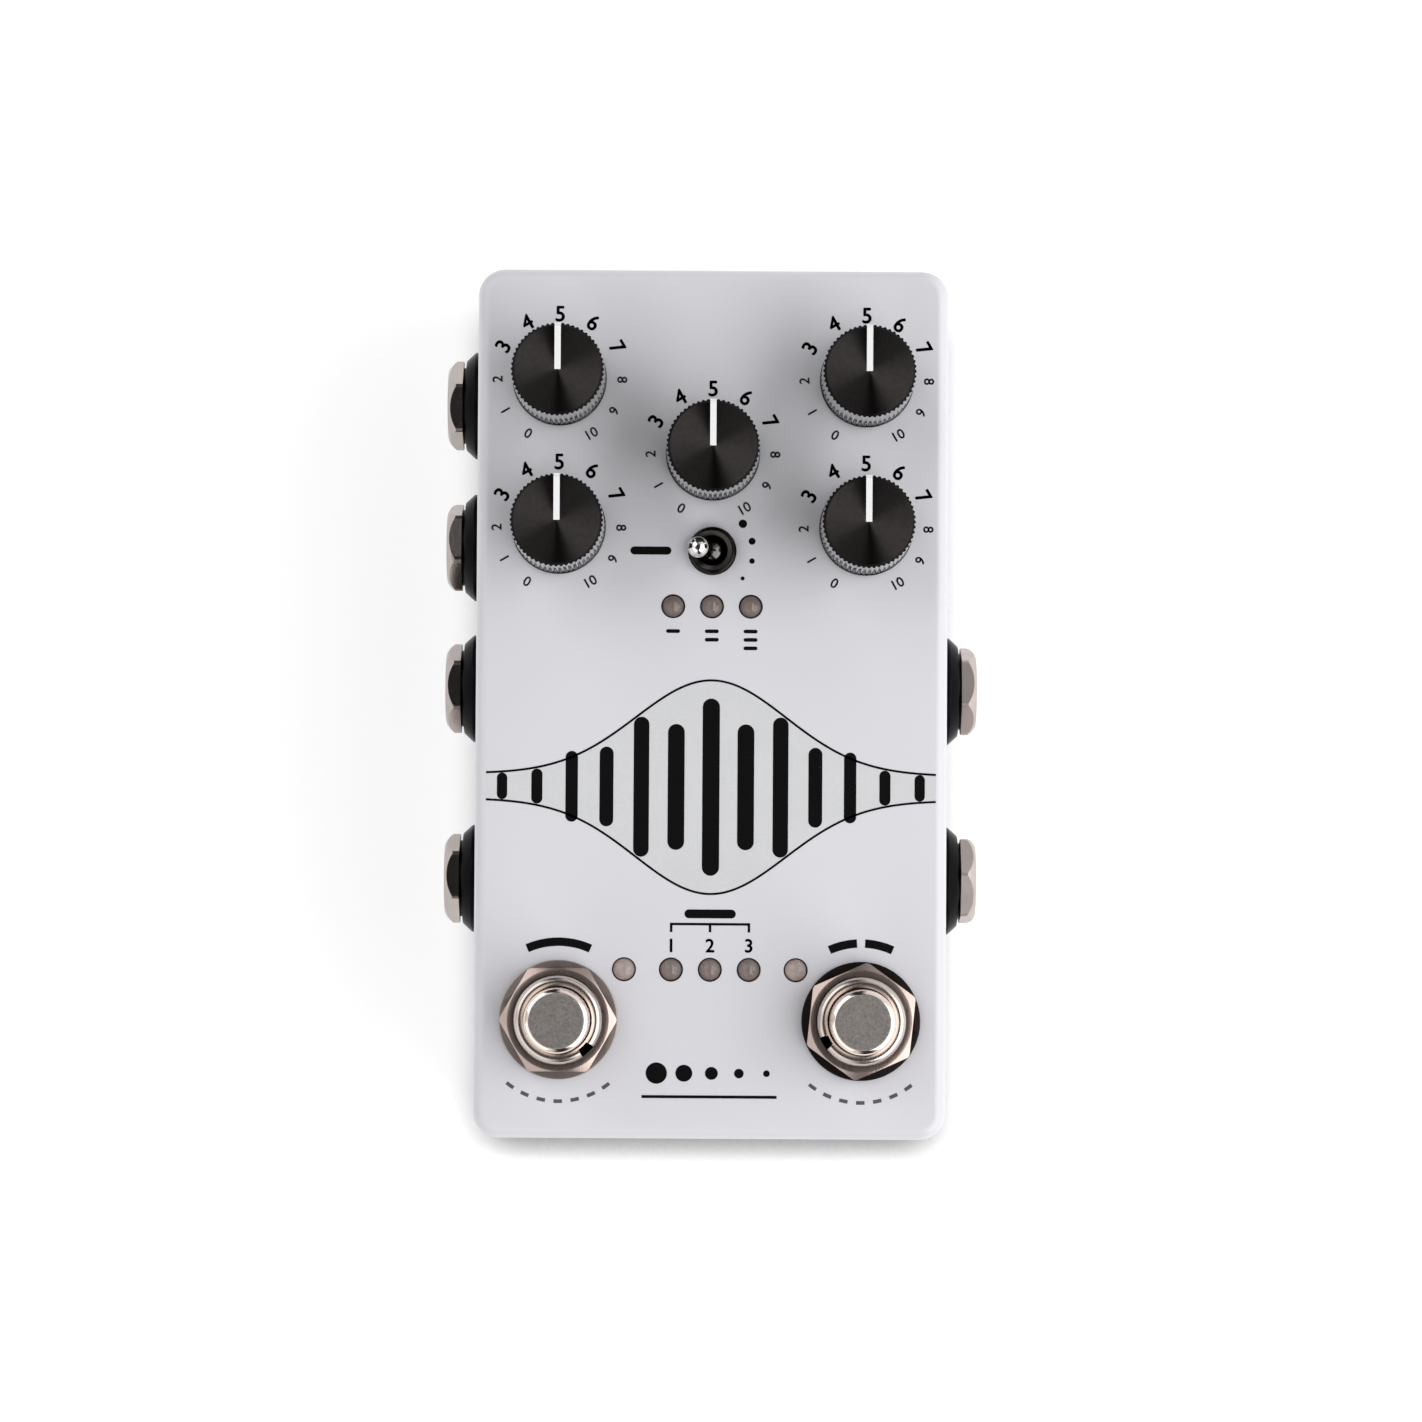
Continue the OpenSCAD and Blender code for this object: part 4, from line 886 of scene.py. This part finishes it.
def turnedFlat(points, degrees):
    c, s = math.cos(math.radians(degrees)), math.sin(math.radians(degrees))
    return points @ np.array([[c, s], [-s, c]])


def dot(at, d, colour):
    blot(ringOf(at, d / 2), colour)


# Bar with round ends, standing along y unless turned
def capsule(at, wide, tall, colour, turn=0.0):
    r = wide / 2
    run = max(tall / 2 - r, 0)
    outline = np.vstack([ringOf((0, run), r, -90, 90, 14, True), ringOf((0, -run), r, 90, 270, 14, True)])
    blot(turnedFlat(outline, turn) + at, colour)


font = {"capHeight": 0.70, "steps": 4, "extrude": 0.5}


# Figures come from Blender's own font, made a mesh, then turned and placed
# Four copies a little apart make them bolder
def figure(text, at, high, colour, turn=0.0, bold=0.03):
    curve = bpy.data.curves.new("figure", "FONT")
    curve.body = text
    curve.size = high / font["capHeight"]
    curve.resolution_u = font["steps"]
    curve.align_x = "CENTER"
    curve.extrude = font["extrude"]
    holder = added("figure", curve)
    mesh = bpy.data.meshes.new_from_object(holder.evaluated_get(bpy.context.evaluated_depsgraph_get()))
    points = np.zeros(len(mesh.vertices) * 3)
    mesh.vertices.foreach_get("co", points)
    mesh.calc_loop_triangles()
    triangles = np.zeros(len(mesh.loop_triangles) * 3, int)
    mesh.loop_triangles.foreach_get("vertices", triangles)
    points = points.reshape(-1, 3)
    points[:, 1] -= high / 2
    height = np.where(points[:, 2:] > 0, inkTop[colour], inkLow) + panelZ
    flat = turnedFlat(points[:, :2], turn) + at
    for shift in np.array([(-1, 0), (1, 0), (0, -1), (0, 1)]) * bold * high:
        shifted = np.hstack([flat + shift, height])
        prints[colour].append((shifted, np.zeros((0, 4), int), triangles.reshape(-1, 3)))
    bpy.data.objects.remove(holder)
    bpy.data.curves.remove(curve)
    bpy.data.meshes.remove(mesh)


scale = {"first": -150, "step": 30, "figures": 11, "large": range(3, 8),
         "black": {"r": 9.05, "high": 2.1, "bold": 0.03}, "grey": {"r": 8.55, "high": 1.35, "bold": 0.026}}

# Dial scales: 0 to 10 round each knob, the middle five large and black, the rest small and grey
for dial in dials:
    for i in range(scale["figures"]):
        angle = scale["first"] + scale["step"] * i
        colour = "black" if i in scale["large"] else "grey"
        size = scale[colour]
        upright = -angle if abs(angle) <= 90 else 180 - angle
        figure(str(i), spotOn(dialAt[dial], size["r"], angle), size["high"], colour, upright, size["bold"])

level = {"half": 30.7, "points": 161, "y": -11.5, "line": 0.3, "least": 1.7, "swell": 12.88, "spread": 14.5,
         "bars": 6, "pitch": 4.75, "tall": 23.0, "short": 0.74, "stub": 1.2, "wide": 2.35, "thin": 0.55,
         "fade": 4.0}

# Level print across the middle: bars that die away to both sides, on a pale band between two thin lines
# Half the band's width = least + swell * exp(-(x / spread)^2)
x = np.linspace(-level["half"], level["half"], level["points"])
swell = level["least"] + level["swell"] * np.exp(-(x / level["spread"]) ** 2)
frontLine, rearLine = (np.stack([x, level["y"] + side * swell], 1) for side in (-1, 1))
band(frontLine, rearLine, "pale")
strip(frontLine, level["line"], "black")
strip(rearLine, level["line"], "black")
for i in range(-level["bars"], level["bars"] + 1):
    fade = math.exp(-(i / level["fade"]) ** 2)
    tall = level["tall"] * fade * (level["short"] if i % 2 else 1.0) + level["stub"]
    wide = level["wide"] * (level["thin"] + (1 - level["thin"]) * fade)
    capsule((i * level["pitch"], level["y"]), wide, tall, "black")

# Marks by the toggle: a dash on its left, four dots that shrink on its right
beside = {"dashX": 8.4, "dash": (1.1, 5.6), "dotR": 5.6, "first": 48, "step": 28,
          "dots": (1.15, 0.95, 0.75, 0.55)}
capsule((toggleAt[0] - beside["dashX"], toggleAt[1]), *beside["dash"], "black", 90)
for i, d in enumerate(beside["dots"]):
    dot(spotOn(toggleAt, beside["dotR"], beside["first"] + beside["step"] * i), d, "black")

# One, two and three dashes under the rear lamps
tally = {"down": 3.4, "step": 1.15, "dash": (0.5, 1.9)}
for count, (lampX, lampY) in enumerate(rearLamps, 1):
    for i in range(count):
        capsule((lampX, lampY - tally["down"] - tally["step"] * i), *tally["dash"], "black", 90)

# Bracket and figures over the three inner lamps of the front row
bracket = {"figure": 3.3, "high": 1.8, "leg": 5.1, "top": 6.2, "line": 0.34, "dashY": 7.6, "dash": (1.2, 7.0)}
legFoot, legTop = frontLampY + bracket["leg"], frontLampY + bracket["top"]
for i, (lampX, lampY) in enumerate(frontLamps[1:-1], 1):
    strip([(lampX, legFoot), (lampX, legTop)], bracket["line"], "black")
    figure(str(i), (lampX, lampY + bracket["figure"]), bracket["high"], "black")
reach = lamp["inner"] + bracket["line"] / 2
strip([(-reach, legTop), (reach, legTop)], bracket["line"], "black")
capsule((0, frontLampY + bracket["dashY"]), *bracket["dash"], "black", 90)

# Round each footswitch: bold dashes over it, one or two, and a row of grey dashes under it
over = {"r": 10.6, "width": 1.15, "spans": {"bypass": [(-24, 24)], "tap": [(-24, -3), (3, 24)]}}
under = {"r": 11.1, "first": 144, "step": 12, "count": 7, "long": 6, "width": 0.5}
for name in switches:
    for start, stop in over["spans"][name]:
        strip(ringOf(switchAt[name], over["r"], start, stop, 24, True), over["width"], "black")
    for i in range(under["count"]):
        start = under["first"] + under["step"] * i - under["long"] / 2
        path = ringOf(switchAt[name], under["r"], start, start + under["long"], 6, True)
        strip(path, under["width"], "grey")

# Dots that shrink, over a line at the front of the panel
front = {"dotX": -7.2, "step": 3.75, "dotDown": 7.2, "dots": (2.9, 2.3, 1.75, 1.3, 0.9), "lineX": 9.2,
         "lineDown": 10.4, "line": 0.4}
dotY, lineY = (switchAt["bypass"][1] - front[key] for key in ("dotDown", "lineDown"))
for i, d in enumerate(front["dots"]):
    dot((front["dotX"] + front["step"] * i, dotY), d, "black")
strip([(-front["lineX"], lineY), (front["lineX"], lineY)], front["line"], "black")

for colour in inkTop:
    piece("panel_print_" + colour, prints[colour], [colour + "Ink"], "chassis")
print("panel printed")

camera = {"tilt": 2.3232, "side": -0.1508, "roll": 0.3539, "at": (-2.0746, -32.2959, 810.1075),
          "focusPx": 5635.58, "framePx": 1422, "sensor": 36.0}
cameraData = bpy.data.cameras.new("camera")
cameraData.sensor_width = camera["sensor"]
cameraData.lens = camera["focusPx"] * camera["sensor"] / camera["framePx"]
cameraObject = added("camera", cameraData)
turns = [Matrix.Rotation(math.radians(camera[key]), 4, axis)
         for key, axis in (("tilt", "X"), ("side", "Y"), ("roll", "Z"))]
cameraAt = Matrix.Translation([c * mm for c in camera["at"]])
cameraObject.matrix_world = cameraAt @ turns[0] @ turns[1] @ turns[2]
bpy.context.scene.camera = cameraObject

floorSet = {"half": 1.5, "tone": 0.90, "drift": 0.995, "cloudScale": 40, "seenTone": 0.5, "glow": 0.64,
            "contact": 5.0, "samples": 10, "lean": (0.0, 0.97, 0.25), "shade": ((0.58, 0.18), (0.96, 1.0))}


# Floor: pale and matt; where it is seen, a greyer matt and a glow add up to white and keep a softer shadow
# The shade close to the object is a painted contact shadow in the colour and the glow, from how much of the
# space in front of each spot is open
def floorMaterial():
    made, f = startMaterial("paleFloor")
    seenBy, mirrored, through = (f.node("ShaderNodeLightPath", out="Is " + ray + " Ray")
                                 for ray in ("Camera", "Glossy", "Transmission"))
    cloud = f.noise(floorSet["cloudScale"])
    tone = f.blend(cloud, grey(floorSet["tone"]), grey(floorSet["tone"] * floorSet["drift"]))
    lean = f.node("ShaderNodeCombineXYZ", {}, dict(enumerate(floorSet["lean"])))
    clear = f.node("ShaderNodeAmbientOcclusion", {"samples": floorSet["samples"]},
                   {"Distance": floorSet["contact"] * mm, "Normal": lean}, 1)
    contact = f.ramp(clear, *floorSet["shade"])
    shaded = f.blend(contact, grey(0.0), grey(floorSet["seenTone"]))
    matt = f.node("ShaderNodeBsdfDiffuse", {}, {"Color": tone})
    seen = f.node("ShaderNodeAddShader", {}, {
        0: f.node("ShaderNodeBsdfDiffuse", {}, {"Color": shaded}),
        1: f.node("ShaderNodeEmission", {}, {"Color": contact, "Strength": floorSet["glow"]})})
    mixed = f.node("ShaderNodeMixShader", {}, {0: seenBy + mirrored + through, 1: matt, 2: seen})
    f.node("ShaderNodeOutputMaterial", {}, {"Surface": mixed})
    return made


floorMesh = bpy.data.meshes.new("floor")
floorMesh.from_pydata(levels(square * floorSet["half"], (0,))[0], [], [(0, 1, 2, 3)])
floorMesh.materials.append(floorMaterial())
floor = added("floor", floorMesh)
floor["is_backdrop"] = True

# Sky: bright to both sides, darker in a gap before and behind the object and straight above it
skySet = {"zenith": 0.05, "above": 0.3, "horizon": 0.85, "side": (0.985, 0.174, 0.0), "gap": 0.03,
          "gapEnds": (0.02, 0.10), "left": 0.75, "right": 1.15}
world = bpy.data.worlds.new("studio")
world.use_nodes = True
bpy.context.scene.world = world
sky = Finish(world.node_tree)
toward = sky.node("ShaderNodeTexCoord", out="Generated")
upward = sky.coordinate(2, toward)
aside = sky.node("ShaderNodeVectorMath", {"operation": "DOT_PRODUCT"}, {0: toward, 1: skySet["side"]}, 1)
tone = sky.ramp(upward, (0.0, skySet["horizon"]), (0.6, skySet["horizon"]), (0.82, skySet["above"]),
                (0.94, skySet["zenith"]))
gapStart, gapStop = skySet["gapEnds"]
walls = sky.ramp(aside * aside / (1.001 - upward * upward), (gapStart, skySet["gap"]), (gapStop, 1.0))
share = (skySet["left"] + skySet["right"]) / 2 + (skySet["right"] - skySet["left"]) / 2 * aside
backdrop = sky.node("ShaderNodeBackground", {}, {"Color": tone * walls * share})
sky.node("ShaderNodeOutputWorld", {}, {"Surface": backdrop})

softboxes = {
    "keyBox": {"at": (0.82, -0.24, 0.80), "size": (1.8, 1.0), "power": 12.4},
    "fillBox": {"at": (-0.70, 0.56, 0.95), "size": (1.0, 1.0), "power": 4.0},
    "leftBox": {"at": (-0.76, -0.62, 0.80), "size": (1.4, 0.9), "power": 3.0},
}
target = Vector((0, 0, 0.03))
for name, box in softboxes.items():
    light = bpy.data.lights.new(name, "AREA")
    light.shape = "RECTANGLE"
    light.size, light.size_y = box["size"]
    light.energy = box["power"]
    aim = (target - Vector(box["at"])).to_track_quat("-Z", "Y")
    added(name, light).matrix_world = Matrix.Translation(box["at"]) @ aim.to_matrix().to_4x4()
bpy.context.scene.view_settings.view_transform = "Standard"
print("camera, floor and lights set")

low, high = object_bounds()
